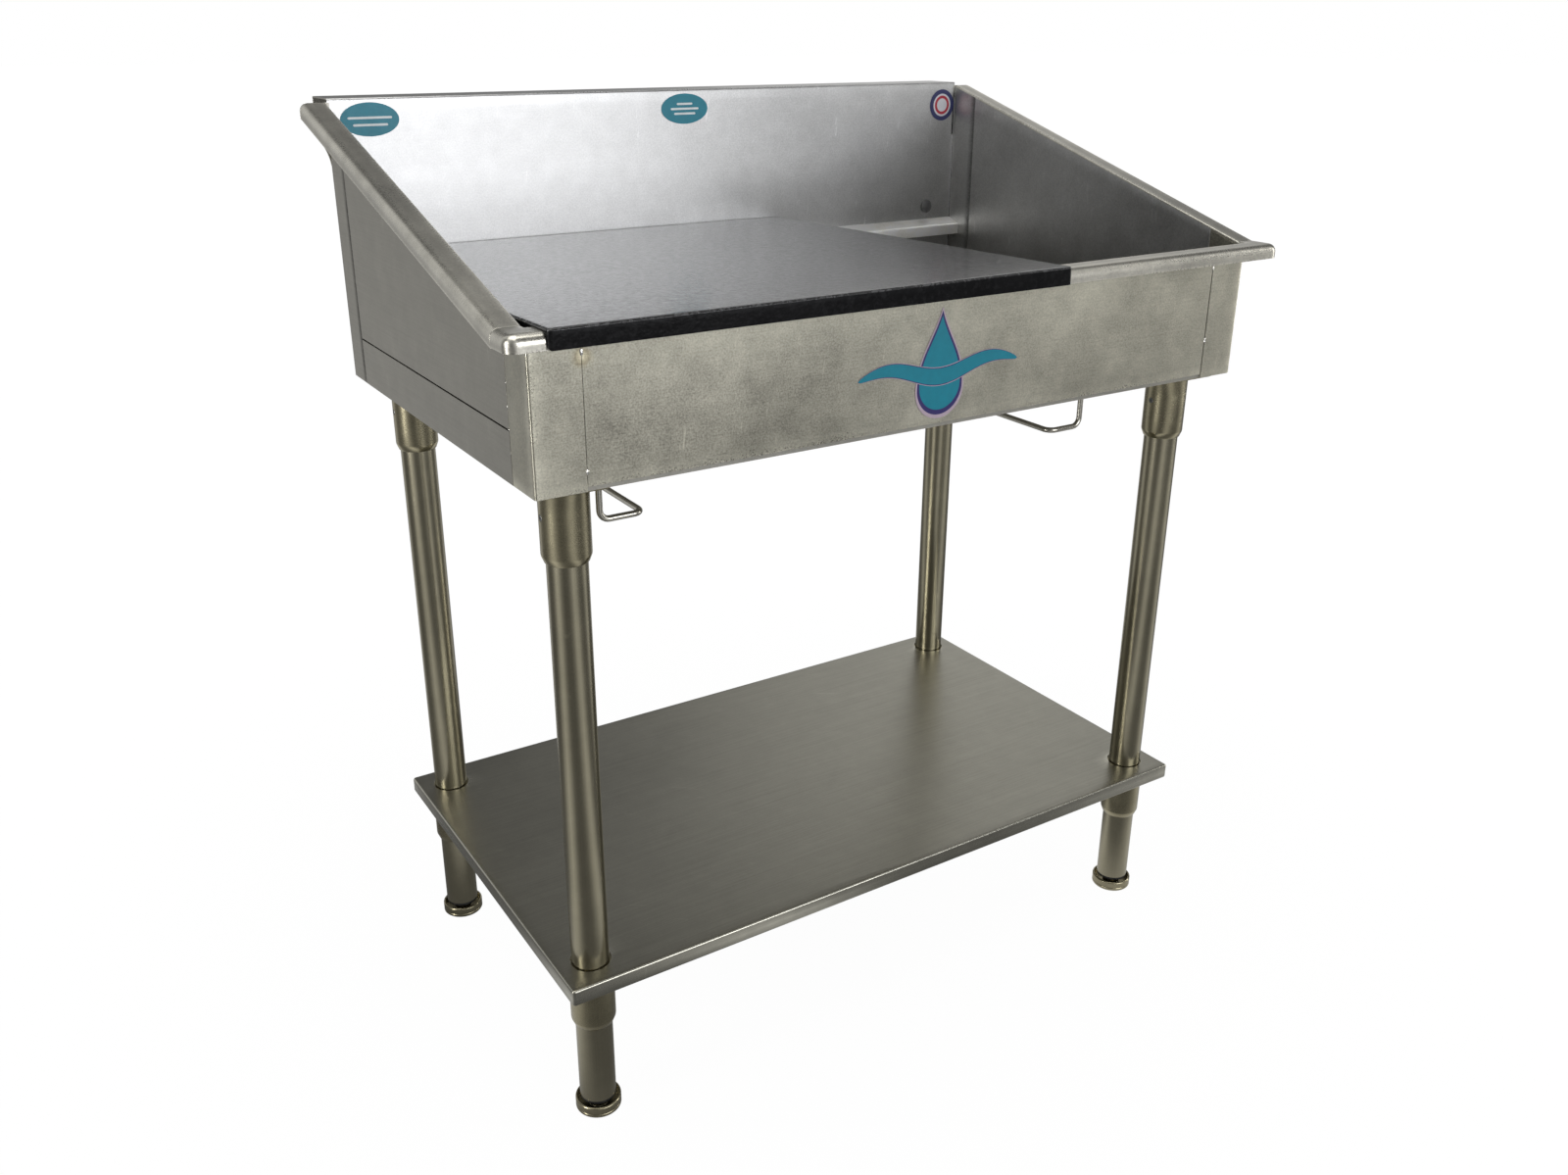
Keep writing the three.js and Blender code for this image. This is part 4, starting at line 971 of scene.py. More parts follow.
@dataclass
class Tub:
    """The folded tub: front, corner angles, sides, back, pan, ledge, welds and plug."""

    shop: Workshop
    sizes: TubSizes
    front_lip: float = 16 * MM
    side_lip: float = 17 * MM
    open_seam: float = 1.4 * MM
    closed_seam: float = 0.3 * MM
    # Width of the darkened strip at the wing's seam, and the wear value below 0 that darkens it and the back
    # corners' bends: painted shade, with some grime in the seam.
    seam_shade_and_grime_width: float = 3 * MM
    painted_shade_and_grime: float = -1.3
    wall_rows: int = 14

    def build(self) -> None:
        """Makes and dresses every part of the tub."""
        self.front_apron()
        for side, hand in ((-1, "left"), (1, "right")):
            self.corner_angle(side, hand)
            self.side_wall(side, hand)
        self.back_wall()
        self.shop.keep("floor_pan", "side_sheet")
        self.ledge()
        self.welds()
        self.wall_plug()

    def front_apron(self) -> None:
        """Apron and front rim in one sheet. The rim's section follows a path with two mitred corners."""
        s = self.sizes
        reach = s.half_length + RIM_WIDTH
        outer_front = s.front - RIM_WIDTH
        far = s.kink + 4 * RIM_CORNER
        outer_marks = ramp(s.seam_x, reach - RIM_CORNER, 8)
        marks_x = np.unique(
            np.concatenate([-outer_marks[::-1], ramp(-s.seam_x, s.seam_x, 41), outer_marks])
        )
        marks_y = ramp(s.kink, outer_front + RIM_CORNER, 8)[::-1]
        marks = (marks_x, marks_y, marks_x[:1], marks_y)
        path = CornerPath.round_rectangle((-reach, outer_front), (reach, far), RIM_CORNER, marks, 10)
        front = np.flatnonzero(path.core[:, 1] <= s.kink + 1e-9)
        left = front[front >= len(path.core) - 40]
        order = np.concatenate([left, front[front < left[0]]])
        section, wear = rim_section(self.front_lip)
        inset = RIM_WIDTH + SHEET - section[:, 0]
        plan = path.at(inset)[:, order].transpose(1, 0, 2)
        rim = lift(plan, s.rim + section[:, 1][None, :])
        skin = Skin().grid(rim, wear=wear, flip=True)
        rows = ramp(s.apron_foot, s.rim - BEND, self.wall_rows)
        x = ramp(-s.seam_x, s.seam_x, 41)
        wall = points_at(x[None, :], s.front + SHEET, column(rows))
        edge = np.maximum(np.clip(1 - (rows - rows[0]) / (6 * MM), 0, 1)[:, None], np.zeros(len(x)))
        skin.grid(wall, wear=edge, flip=False)
        apron = thicken(skin.piece("apron_and_front_rim"), SHEET)
        self.shop.fit(soften(apron), "apron_sheet", "stainless_sheet", replaces=("front_panel",))
        self.rim_material(apron)

    def rim_material(self, piece: bpy.types.Object) -> None:
        """Gives faces that belong to the rim, or look into the basin, their own finish."""
        s = self.sizes
        centre, normal = faces_of(piece)
        outside = (np.abs(centre[:, 0]) > s.half_length + 0.4 * MM) | (centre[:, 1] < s.front - 0.4 * MM)
        is_rim = outside | (centre[:, 2] > s.rim_top(centre[:, 1]) - BEND)
        from_front = (centre[:, 1] < 0) & (normal[:, 1] > FACING)
        from_side = (np.abs(centre[:, 0]) > 0.9 * s.half_length) & (normal[:, 0] * centre[:, 0] < 0)
        index = np.where(is_rim, 1, np.where(from_front | from_side, 2, 0))
        self.shop.shelf.dress_faces(piece, ("rim_sheet", "basin_sheet"), index)

    def corner_angle(self, side: int, hand: str) -> None:
        """Angle folded round a front corner: a plan path with one bend, carried up to the rim."""
        s = self.sizes
        radius = BEND
        turn = ramp(-math.pi / 2, 0, 7)
        seam = self.open_seam if side > 0 else self.closed_seam
        along = ramp(s.seam_x + seam, s.half_length - radius, 10)
        back = ramp(s.front + radius, s.corner_end - self.closed_seam, 12)
        front_leg = np.stack([along, np.full(10, s.front)], axis=1)[:-1]
        fold = (
            s.half_length - radius, s.front + radius
        ) + radius * np.stack([np.cos(turn), np.sin(turn)], axis=1)
        side_leg = np.stack([np.full(12, s.half_length), back], axis=1)[1:]
        plan = np.concatenate([front_leg, fold, side_leg])
        top = s.rim_top(plan[:, 1]) - SHEET - BEND
        rows = ramp(0, 1, self.wall_rows)
        height = s.floor + rows[:, None] * (top - s.floor)[None, :]
        points = lift(np.broadcast_to(plan[None], (len(rows), *plan.shape)), height)
        points[..., 0] *= side
        from_fold = (plan[:, 1] - s.front) - (s.half_length - plan[:, 0])
        rubbed = np.exp(-(from_fold**2) / (9 * MM) ** 2)
        wear = np.maximum(rubbed[None, :] * 0.9, np.clip(1 - (height - s.floor) / (5 * MM), 0, 1))
        angle = thicken(Skin().grid(points, wear=wear, flip=side > 0).piece(f"{hand}_corner_angle"), SHEET)
        self.shop.fit(soften(angle), "apron_sheet", "stainless_sheet", replaces=(f"front_{hand}_corner",))

    def side_wall(self, side: int, hand: str) -> None:
        """Side wall and sloping rim in one sheet: the rim's section sheared up the slope."""
        s = self.sizes
        inner = s.half_length - SHEET
        panel_y = ramp(s.corner_end + GAP, s.wing_start - GAP, 34)
        y = np.unique(np.concatenate([[s.kink + GAP], panel_y, ramp(s.wing_start, s.back - GAP, 6)]))
        section, wear = rim_section(self.side_lip)
        out, height = section.T
        rim = points_at(side * (inner + out)[None, :], column(y), column(s.rim_top(y)) + height[None, :])
        skin = Skin().grid(rim, wear=wear, flip=side > 0)
        middle = y[(y > s.corner_end) & (y < s.wing_start)]
        rows = ramp(0, 1, self.wall_rows)
        top, foot = s.rim_top(middle) - BEND, s.band_top + self.open_seam
        wall = points_at(side * inner, middle[None, :], foot + column(rows) * (top - foot)[None, :])
        skin.grid(wall, flip=side < 0)
        panel = thicken(skin.piece(f"{hand}_side_and_rim"), SHEET)
        self.shop.fit(soften(panel), "side_sheet", "stainless_sheet", replaces=(f"{hand}_side_panel",))
        self.rim_material(panel)

    def back_wall(self) -> None:
        """Back wall with its wings, top flange, lip and gusset ears.

        The basin face runs up the wings and the wall. On the wall it bends back into the flange and the lip.
        """
        s = self.sizes
        inner, radius = s.half_length - SHEET, BEND - SHEET
        turn = ramp(0, math.pi / 2, 6)
        wing_y = np.concatenate([[s.wing_start], ramp(s.wing_start + self.seam_shade_and_grime_width, s.back - radius, 6)])
        bend = (inner - radius, s.back - radius) + radius * np.stack([np.cos(turn), np.sin(turn)], axis=1)
        half = np.concatenate([np.stack([np.full(6, inner), wing_y[:-1]], axis=1), bend])
        across = ramp(inner - radius, radius - inner, 60)[1:-1]
        plan = np.concatenate([half, np.stack([across, np.full(58, s.back)], axis=1), half[::-1] * (-1, 1)])
        is_wall = np.abs(plan[:, 1] - s.back) < 1e-9
        top = np.where(is_wall, s.back_top - BEND, s.rim_top(plan[:, 1]) - SHEET - GAP)
        rows = ramp(0, 1, 26)
        height = s.floor + rows[:, None] * (top - s.floor)[None, :]
        # The seam strip and the bends at the back corners get a wear below 0, which darkens the steel:
        # painted shade, with some grime along the seam.
        seam = np.abs(plan[:, 1] - s.wing_start) < self.seam_shade_and_grime_width + GAP
        at_end = np.abs(np.abs(plan[:, 0]) - inner + 0.5 * radius) < 0.5 * radius
        marks = np.where(seam | at_end & (plan[:, 1] > s.back - radius), self.painted_shade_and_grime, 0.0)
        skin = Skin().grid(
            lift(np.broadcast_to(plan[None], (26, *plan.shape)), height), wear=marks[None, :]
        )
        over = arc((s.back + BEND, s.back_top - BEND), BEND, 180, 90, 5)
        flat_y = ramp(s.back + BEND, s.back + BACK_FLANGE - BEND, 8)[1:-1]
        flat = np.stack([flat_y, np.full(len(flat_y), s.back_top)], axis=1)
        down = arc((s.back + BACK_FLANGE - BEND, s.back_top - BEND), BEND, 90, 0, 5)
        foot = np.array([[s.back + BACK_FLANGE, s.back_top - BACK_LIP]])
        section = np.concatenate([over, flat, down, foot])
        flange = points_at(plan[is_wall, 0][None, :], column(section[:, 0]), column(section[:, 1]))
        mark = np.concatenate([ramp(0.5, 1, 5), np.full(6, 0.1), ramp(0.6, 1, 5), [1.0]])
        skin.grid(flange, wear=np.broadcast_to(mark[:, None], flange.shape[:2]))
        wall = thicken(skin.piece("back_wall_and_flange"), SHEET)
        self.shop.fit(soften(wall), "basin_sheet", "stainless_sheet", replaces=("back_panel",))
        self.outer_material(wall)
        for side, hand in ((-1, "left"), (1, "right")):
            self.ear(side, hand)

    def outer_material(self, piece: bpy.types.Object) -> None:
        """Gives faces that look out to the sides or back the outer sheet's finish."""
        centre, normal = faces_of(piece)
        sideways = normal[:, 0] * centre[:, 0] > 0.2 * self.sizes.half_length
        is_outer = (normal[:, 1] > FACING) | (normal[:, 2] < -FACING) | sideways
        self.shop.shelf.dress_faces(piece, ("side_sheet",), is_outer)

    def ear(self, side: int, hand: str) -> None:
        """Gusset that closes the side rim: its reach rises in an S from the wall to the rim's edge."""
        s = self.sizes
        top = float(s.rim_top(s.back))
        tall = 68 * MM
        drop = np.concatenate([ramp(0, RIM_ROLL, 9), ramp(RIM_ROLL, tall, 24)[1:]])
        curl = RIM_WIDTH - RIM_ROLL + RIM_ROLL * np.sqrt(np.clip(1 - (1 - drop / RIM_ROLL) ** 2, 0, 1))
        fall = np.clip((drop - self.side_lip) / (tall - self.side_lip), 0, 1)
        reach = np.where(drop < RIM_ROLL, curl, RIM_WIDTH * (1 - fall) ** 1.7)
        across = ramp(0, 1, 6)
        x = side * (s.half_length - 2 * BEND + across[None, :] * column(reach + 2 * BEND))
        points = points_at(x, s.back, column(top - drop))
        wear = np.broadcast_to(np.array([0, 0, 0, 0.2, 0.5, 1.0]), (len(drop), 6))
        ear = thicken(Skin().grid(points, wear=wear, flip=side < 0).piece(f"{hand}_rim_gusset"), SHEET)
        self.shop.fit(soften(ear), "side_sheet", "stainless_sheet")

    def ledge(self) -> None:
        """Ledge on the back wall: up the wall, out along the sloping top and down the face."""
        low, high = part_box("platform_ledge")
        nose_top = high.z - 7.5 * MM
        corner = np.array([[high.y, low.z + 8 * MM], [high.y, high.z], [low.y, nose_top], [low.y, low.z]])
        first = rounded(
            np.concatenate([corner, [[0.5 * (low.y + high.y), low.z - 0.05]]]), 2.2 * MM, 5
        )[4:-9]
        x = ramp(low.x, high.x, 40)
        points = points_at(column(x), first[:, 0][None, :], first[:, 1][None, :])
        # The pale finish and the even wear of 0.4 paint a highlight along the ledge.
        skin = Skin().grid(points, wear=np.full(points.shape[:2], 0.4), flip=True)
        ledge = thicken(skin.piece("platform_ledge_angle"), SHEET)
        self.shop.fit(soften(ledge), "ledge_lit_sheet", "stainless_sheet", replaces=("platform_ledge",))

    def welds(self) -> None:
        """Tack welds on the front seams and on the seams of the sides."""
        s = self.sizes
        span = s.rim - s.floor
        tacks = Skin()
        grains: list[Skin] = []
        for number, share in enumerate((0.89, 0.845, 0.835, 0.3, 0.285)):
            centre = (s.seam_x + 0.5 * self.open_seam, s.front - 0.2 * MM, s.floor + share * span)
            grains.append(bead(centre, (1.5 * MM, 0.9 * MM, 2.4 * MM), number))
        for number, share in enumerate((0.83, 0.82, 0.12)):
            centre = (-s.seam_x, s.front - 0.1 * MM, s.floor + share * span)
            grains.append(bead(centre, (1.8 * MM, 0.7 * MM, 2.6 * MM), number + 5))
        for side in (-1, 1):
            for step in range(6):
                z = s.floor + (0.2 + 0.14 * step) * span
                place, size = (side * s.half_length, s.corner_end, z), (0.3 * MM, 0.6 * MM, 1.4 * MM)
                grains.append(bead(place, size, step + 9))
        for grain in grains:
            tacks.add(grain)
        self.shop.fit(soften(tacks.piece("seam_weld_beads"), 0), "weld_metal", "stainless_sheet")

    def wall_plug(self) -> None:
        """Push-in plug: a domed head turned about an axis through the back wall."""
        low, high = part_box("back_wall_plug")
        radius = 0.5 * (high.x - low.x)
        x, z = 0.5 * (low.x + high.x), 0.5 * (low.z + high.z)
        rise = self.sizes.back - low.y
        dome = arc((0, 0), 1.0, 0, 90, 9) * (radius, rise - 1.2 * MM) + (0, 1.2 * MM)
        end, brim = self.sizes.back - high.y, 0.2 * MM
        barb = [(0, end), (6.5 * MM, end), (6 * MM, brim), (radius, brim)]
        plug = turned(np.concatenate([barb, dome]), 48, closed=False).piece("wall_hole_plug")
        place = Matrix.Translation((x, self.sizes.back, z))
        plug.data.transform(place @ Matrix.Rotation(math.pi / 2, 4, "X"))
        self.shop.fit(soften(plug, 0), "grey_plug", "rubber", replaces=("back_wall_plug",))


# ---------------------------------------------------------------- drain


@dataclass
class Drain:
    """Basket drain, gasket, lock nut, tailpiece, slip nut and strainer, all on one upright axis."""

    shop: Workshop
    sides: int = 72

    def build(self) -> None:
        """Makes and dresses the drain's parts."""
        low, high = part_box("drain_body")
        self.centre = (0.5 * (low.x + high.x), 0.5 * (low.y + high.y))
        self.body(low.z, high.z, 0.5 * (high.x - low.x))
        self.gasket()
        self.lock_nut()
        self.tailpiece()
        self.slip_nut()
        self.strainer()

    def lathe(self, name: str, profile: Array) -> bpy.types.Object:
        """A closed profile turned about the drain's axis."""
        return soften(turned(profile, self.sides, self.centre).piece(name), 0, 40)

    def ring(self, radius: Array, turn: Array, height: float) -> Array:
        """Points round the drain's axis at one height."""
        x, y = self.centre
        return points_at(x + radius * np.cos(turn), y + radius * np.sin(turn), height)

    def body(self, foot: float, top: float, flange: float) -> None:
        """Flange with a rolled edge, a seat for the strainer and a threaded throat."""
        bore = 20 * MM
        outer = bore + 4 * MM
        seat, under = top - 1.4 * MM, top - 2.3 * MM
        throat = [(bore, foot), (outer, foot), (outer, under)]
        edge = [(flange, under), (flange - 0.6 * MM, top - 0.4 * MM), (flange - 5 * MM, top)]
        corners = [*throat, *edge, (flange - 7 * MM, seat), (bore + 1 * MM, seat), (bore, top - 2.5 * MM)]
        piece = self.lathe("drain_flange_and_throat", rounded(corners, 0.5 * MM, 4))
        self.shop.fit(piece, "turned_steel", "drain_steel", replaces=("drain_body",))

    def gasket(self) -> None:
        """Flat rubber ring with rounded edges."""
        low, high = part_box("drain_gasket")
        outer, bore = 0.5 * (high.x - low.x), 24.3 * MM
        ring = rounded([(bore, low.z), (outer, low.z), (outer, high.z), (bore, high.z)], 0.8 * MM)
        self.shop.fit(
            self.lathe("drain_rubber_washer", ring), "rubber", "rubber", replaces=("drain_gasket",)
        )

    def lock_nut(self) -> None:
        """Nut with six lugs: the outer radius swells with the sixth harmonic, raised to sharpen the lugs."""
        low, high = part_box("drain_locknut")
        reach = 0.5 * (high.x - low.x)
        turn = steps_round(144)
        lug = np.clip(np.cos(6 * turn), 0, 1) ** 0.5
        outer = reach - 5.2 * MM + lug * 5.0 * MM
        bore = np.full_like(outer, 24.3 * MM)
        tall = high.z - low.z
        side = [(outer - 0.6 * MM, 0.0), (outer, 0.08), (outer, 0.75), (outer - 0.8 * MM, 0.82)]
        rings = [(bore, 0.0), *side, (bore + 3 * MM, 1.0), (bore, 1.0)]
        points = np.stack(
            [self.ring(radius, turn, low.z + share * tall) for radius, share in rings], axis=1
        )
        nut = Skin().grid(points, wrap_u=True, wrap_v=True).piece("drain_lug_nut")
        self.shop.fit(soften(nut, 0, 40), "nut_brass", "nut_brass", replaces=("drain_locknut",))

    def tailpiece(self) -> None:
        """Flanged tube."""
        low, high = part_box("drain_tailpiece")
        radius, wall = 19 * MM, 1.5 * MM
        flange = 0.5 * (high.x - low.x)
        under, bore = high.z - 2 * MM, radius - wall
        corners = [
            (bore, low.z), (radius, low.z), (radius, under), (flange, under), (flange, high.z),
            (bore, high.z),
        ]
        tube = self.lathe("drain_tail_tube", rounded(corners, 0.4 * MM))
        self.shop.fit(tube, "turned_steel", "drain_steel", replaces=("drain_tailpiece",))

    def slip_nut(self) -> None:
        """Hexagon nut whose corners are chamfered: the hexagon's radius, kept under a cone at both ends."""
        low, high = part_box("drain_slip_nut")
        turn = steps_round(144)
        corner = 0.5 * (high.x - low.x)
        hexagon = corner * math.cos(math.pi / 6) / np.cos((turn % (math.pi / 3)) - math.pi / 6)
        tall = high.z - low.z
        tube, thread = 19.4 * MM, 24.4 * MM
        wide, narrow = 1.6 * MM, 0.3 * MM
        side = [(0.0, wide), (0.1, narrow), (0.16, 0.0), (0.84, 0.0), (0.9, narrow), (1.0, wide)]
        rows = [(tube, 0.0, 0.0), *((0.0, share, cut) for share, cut in side)]
        rows += [(thread, 1.0, 0.0), (thread, 0.35, 0.0), (tube, 0.35, 0.0)]
        rings = []
        for bore, share, cut in rows:
            radius = np.full_like(turn, bore) if bore else np.minimum(hexagon, corner - cut * 1.2)
            rings.append(self.ring(radius, turn, low.z + share * tall))
        nut = Skin().grid(np.stack(rings, axis=1), wrap_u=True, wrap_v=True).piece("drain_hex_nut")
        self.shop.fit(soften(nut, 0, 40), "nut_brass", "nut_brass", replaces=("drain_slip_nut",))

    def strainer(self) -> None:
        """Dished disc with two rings of holes and a knob, turned and then drilled."""
        low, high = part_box("drain_strainer")
        radius = 0.5 * (high.x - low.x)
        thick = 1.4 * MM
        neck = [(7 * MM, low.z + thick), (4.2 * MM, low.z + 3.2 * MM), (4.0 * MM, high.z - 3.6 * MM)]
        knob = [*neck, (6.0 * MM, high.z - 2.4 * MM), (5.4 * MM, high.z - 0.4 * MM)]
        outline = [
            (radius - 1 * MM, low.z), (radius, low.z + 0.7 * MM), (radius - 0.8 * MM, low.z + thick), *knob
        ]
        softened = rounded([(0, low.z), *outline, (0, high.z)], 0.6 * MM)[4:-4]
        profile = np.concatenate([[(0, low.z)], softened, [(0, high.z)]])
        disc = turned(profile, self.sides, self.centre, closed=False).piece("drain_strainer_cup")
        cutters = []
        for ring, count in ((13 * MM, 6), (18.5 * MM, 10)):
            for step in range(count):
                turn = step * FULL_TURN / count
                place = (self.centre[0] + ring * math.cos(turn), self.centre[1] + ring * math.sin(turn))
                foot, top, hole = low.z - 3 * MM, low.z + 4 * MM, 1.9 * MM
                rod = np.array([(0, foot), (hole, foot), (hole, top), (0, top)])
                cutters.append(turned(rod, 16, place, closed=False).piece("drill"))
        carve(disc, cutters)
        self.shop.fit(soften(disc, 0), "turned_steel", "drain_steel", "strainer", ("drain_strainer",))


# ---------------------------------------------------------------- platform


@dataclass
class Platform:
    """Removable platform: an inverted tray of coated sheet, tipped back a little."""

    shop: Workshop
    gauge: float = 2.4 * MM
    lip: float = 19 * MM
    fall: float = 12.8 * MM
    tub_depth: float = 551 * MM
    reach: float = 33 * MM
    play: float = 6 * MM
    corner: float = 5 * MM
    bend: float = 2.6 * MM
    upright: float = 0.3

    def build(self) -> None:
        """Carries the edge's profile round the tray. The skirt is short where the rim is under it."""
        angle = math.atan(self.fall / self.tub_depth)
        low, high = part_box("platform")
        front = low.y + self.lip * math.sin(angle)
        depth = (high.y - front) / math.cos(angle)
        left, right = low.x, high.x
        over_rim = self.reach + self.play
        side_runs = [ramp(self.corner, over_rim - 4 * MM, 8), ramp(over_rim, depth - self.corner, 30)]
        side_marks = np.unique(np.concatenate(side_runs))
        across = ramp(left + self.corner, right - self.corner, 44)
        marks = (across, side_marks, across, side_marks)
        path = CornerPath.round_rectangle((left, 0.0), (right, depth), self.corner, marks, 8)
        stations = path.at(0.0)[0]
        along = stations[:, 1]
        is_front = along < 0.4 * MM
        clear = (along > over_rim - 1 * MM) & (along < depth - 0.5 * MM)
        nose = np.clip(along / self.corner, 0, 1)
        skirt = np.where(clear, self.lip, 2 * self.gauge)
        eased = self.lip - (self.lip - 2 * self.gauge) * (1 - np.sqrt(1 - nose**2))
        skirt = np.where(along <= self.corner, eased, skirt)
        skirt = np.where(is_front, self.lip, skirt)
        rear = high.z - self.rise(depth, angle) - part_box("platform_ledge")[1].z - GAP
        skirt = np.where(along > depth - 0.5 * MM, rear, skirt)
        flat_rows = np.array([0.15, 0.06, 0.02, 0.008, 0.004])
        flat = [(path.at(self.bend + row)[0], np.zeros(len(along)), 0.0) for row in flat_rows]
        turn = np.radians(ramp(0, 90, 8))
        over = []
        for a in turn:
            plan, drop = path.at(self.bend * (1 - math.sin(a)))[0], self.bend * (1 - math.cos(a))
            over.append((plan, np.full(len(along), drop), 0.1 + 0.8 * math.sin(2 * a)))
        down = [(stations, self.bend + share * (skirt - self.bend), 0.1) for share in (0.3, 0.7, 1.0)]
        rows = flat + over + down
        loops = np.stack([lift(plan, -drop) for plan, drop, _ in rows])
        wear = np.stack([np.full(len(along), mark) for _, _, mark in rows])
        skin = Skin().grid(loops, wrap_v=True, wear=wear)
        inner = loops[0]
        centre = 0.5 * (inner.min(axis=0) + inner.max(axis=0))
        share = ramp(0, 1, 6)[:, None, None]
        skin.grid(centre + share * (inner - centre), wrap_v=True)
        tray = thicken(skin.piece("platform_tray"), self.gauge)
        tray.data.transform(Matrix.Translation((0, front, high.z)) @ Matrix.Rotation(-angle, 4, "X"))
        self.shop.fit(
            soften(tray, 0.3 * MM), "platform_coat", "platform_coating", "platform", ("platform",)
        )
        self.lip_material(tray)

    def lip_material(self, tray: bpy.types.Object) -> None:
        """Gives the upright skirt the copy of the coat with almost no shine, which paints shade on it."""
        is_skirt = np.abs(faces_of(tray)[1][:, 2]) < self.upright
        self.shop.shelf.dress_faces(tray, ("platform_lip_shaded_coat",), is_skirt)

    @staticmethod
    def rise(depth: float, angle: float) -> float:
        """How far the tray's back is below its front."""
        return depth * math.sin(angle)


# ---------------------------------------------------------------- storage rails


@dataclass
class StorageRails:
    """Two rods bent into long staples, on which the platform is stored."""

    shop: Workshop
    bend: float = 10 * MM
    step: float = 46 * MM

    def build(self) -> None:
        """Makes both rails from their nodes' boxes."""
        for side, hand in ((-1, "left"), (1, "right")):
            low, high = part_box(f"{hand}_storage_rail")
            radius = 3.2 * MM
            post = high.x - radius if side > 0 else low.x + radius
            run = post - side * self.step
            front, rear, base = low.y + radius, high.y - radius, low.z + radius
            here = [(post, front, high.z), (post, front, base), (run, front, base)]
            there = [(run, rear, base), (post, rear, base), (post, rear, high.z)]
            route = self.route(np.array(here + there))
            rail = self.rod(route, radius).piece(f"{hand}_store_rail")
            self.shop.fit(soften(rail, 0, 50), "rod_steel", "rail_rod", replaces=(f"{hand}_storage_rail",))
            self.pads(hand, [(post, front, high.z), (post, rear, high.z)], radius)

    def route(self, corners: Array) -> Array:
        """Straight runs joined by quarter circles: corner + bend (back (1 - sin a) + on (1 - cos a))."""
        turn = np.radians(ramp(0, 90, 9))[:, None]
        pieces = [corners[:1]]
        for before, here, after in zip(corners[:-2], corners[1:-1], corners[2:]):
            back = (before - here) / np.linalg.norm(before - here)
            on = (after - here) / np.linalg.norm(after - here)
            pieces.append(here + self.bend * (back * (1 - np.sin(turn)) + on * (1 - np.cos(turn))))
        pieces.append(corners[-1:])
        return np.concatenate(pieces)

    @staticmethod
    def rod(route: Array, radius: float, sides: int = 20) -> Skin:
        """A circle carried along a route, turned step by step with its direction, with closed ends."""
        ahead = np.gradient(route, axis=0)
        ahead /= np.linalg.norm(ahead, axis=1, keepdims=True)
        normal = np.empty_like(route)
        normal[0] = (0.0, 1.0, 0.0)
        for i in range(1, len(route)):
            carried = normal[i - 1] - np.dot(normal[i - 1], ahead[i]) * ahead[i]
            normal[i] = carried / np.linalg.norm(carried)
        across = np.cross(ahead, normal)
        turn = steps_round(sides)
        ring = np.cos(turn)[None, :, None] * normal[:, None] + np.sin(turn)[None, :, None] * across[:, None]
        tube = route[:, None] + radius * ring
        ends = [np.repeat(route[i][None, None], sides, axis=1) for i in (0, -1)]
        rows = np.concatenate([ends[0], tube, ends[1]])
        return Skin().grid(rows, wrap_v=True, wear=np.full((len(rows), sides), 0.15), flip=True)

    def pads(self, hand: str, tops: Sequence[Sequence[float]], radius: float) -> None:
        """Weld fillets round the rod's upper ends: a cone that flares as a quarter circle."""
        flare = 2.4 * MM
        skin = Skin()
        for x, y, z in tops:
            curve = arc((radius + flare, z - flare), flare, 180, 90, 6)
            profile = np.concatenate([curve, [(radius * 0.5, z), (radius * 0.5, z - flare)]])
            skin.add(turned(profile, 24, (x, y)))
        self.shop.fit(soften(skin.piece(f"{hand}_rail_fillets"), 0), "weld_metal", "rail_rod")


# ---------------------------------------------------------------- stand


def square_ring(half: float, cut: float, turn: Array) -> Array:
    """A chamfered square's outline seen from its centre: the nearest of its sides and its diagonal cuts."""
    c, s = np.abs(np.cos(turn)), np.abs(np.sin(turn))
    side = half / np.maximum(c, s)
    diagonal = (2 * half - cut) / (c + s)
    reach = np.minimum(side, diagonal)
    return np.stack([reach * np.cos(turn), reach * np.sin(turn)], axis=1)


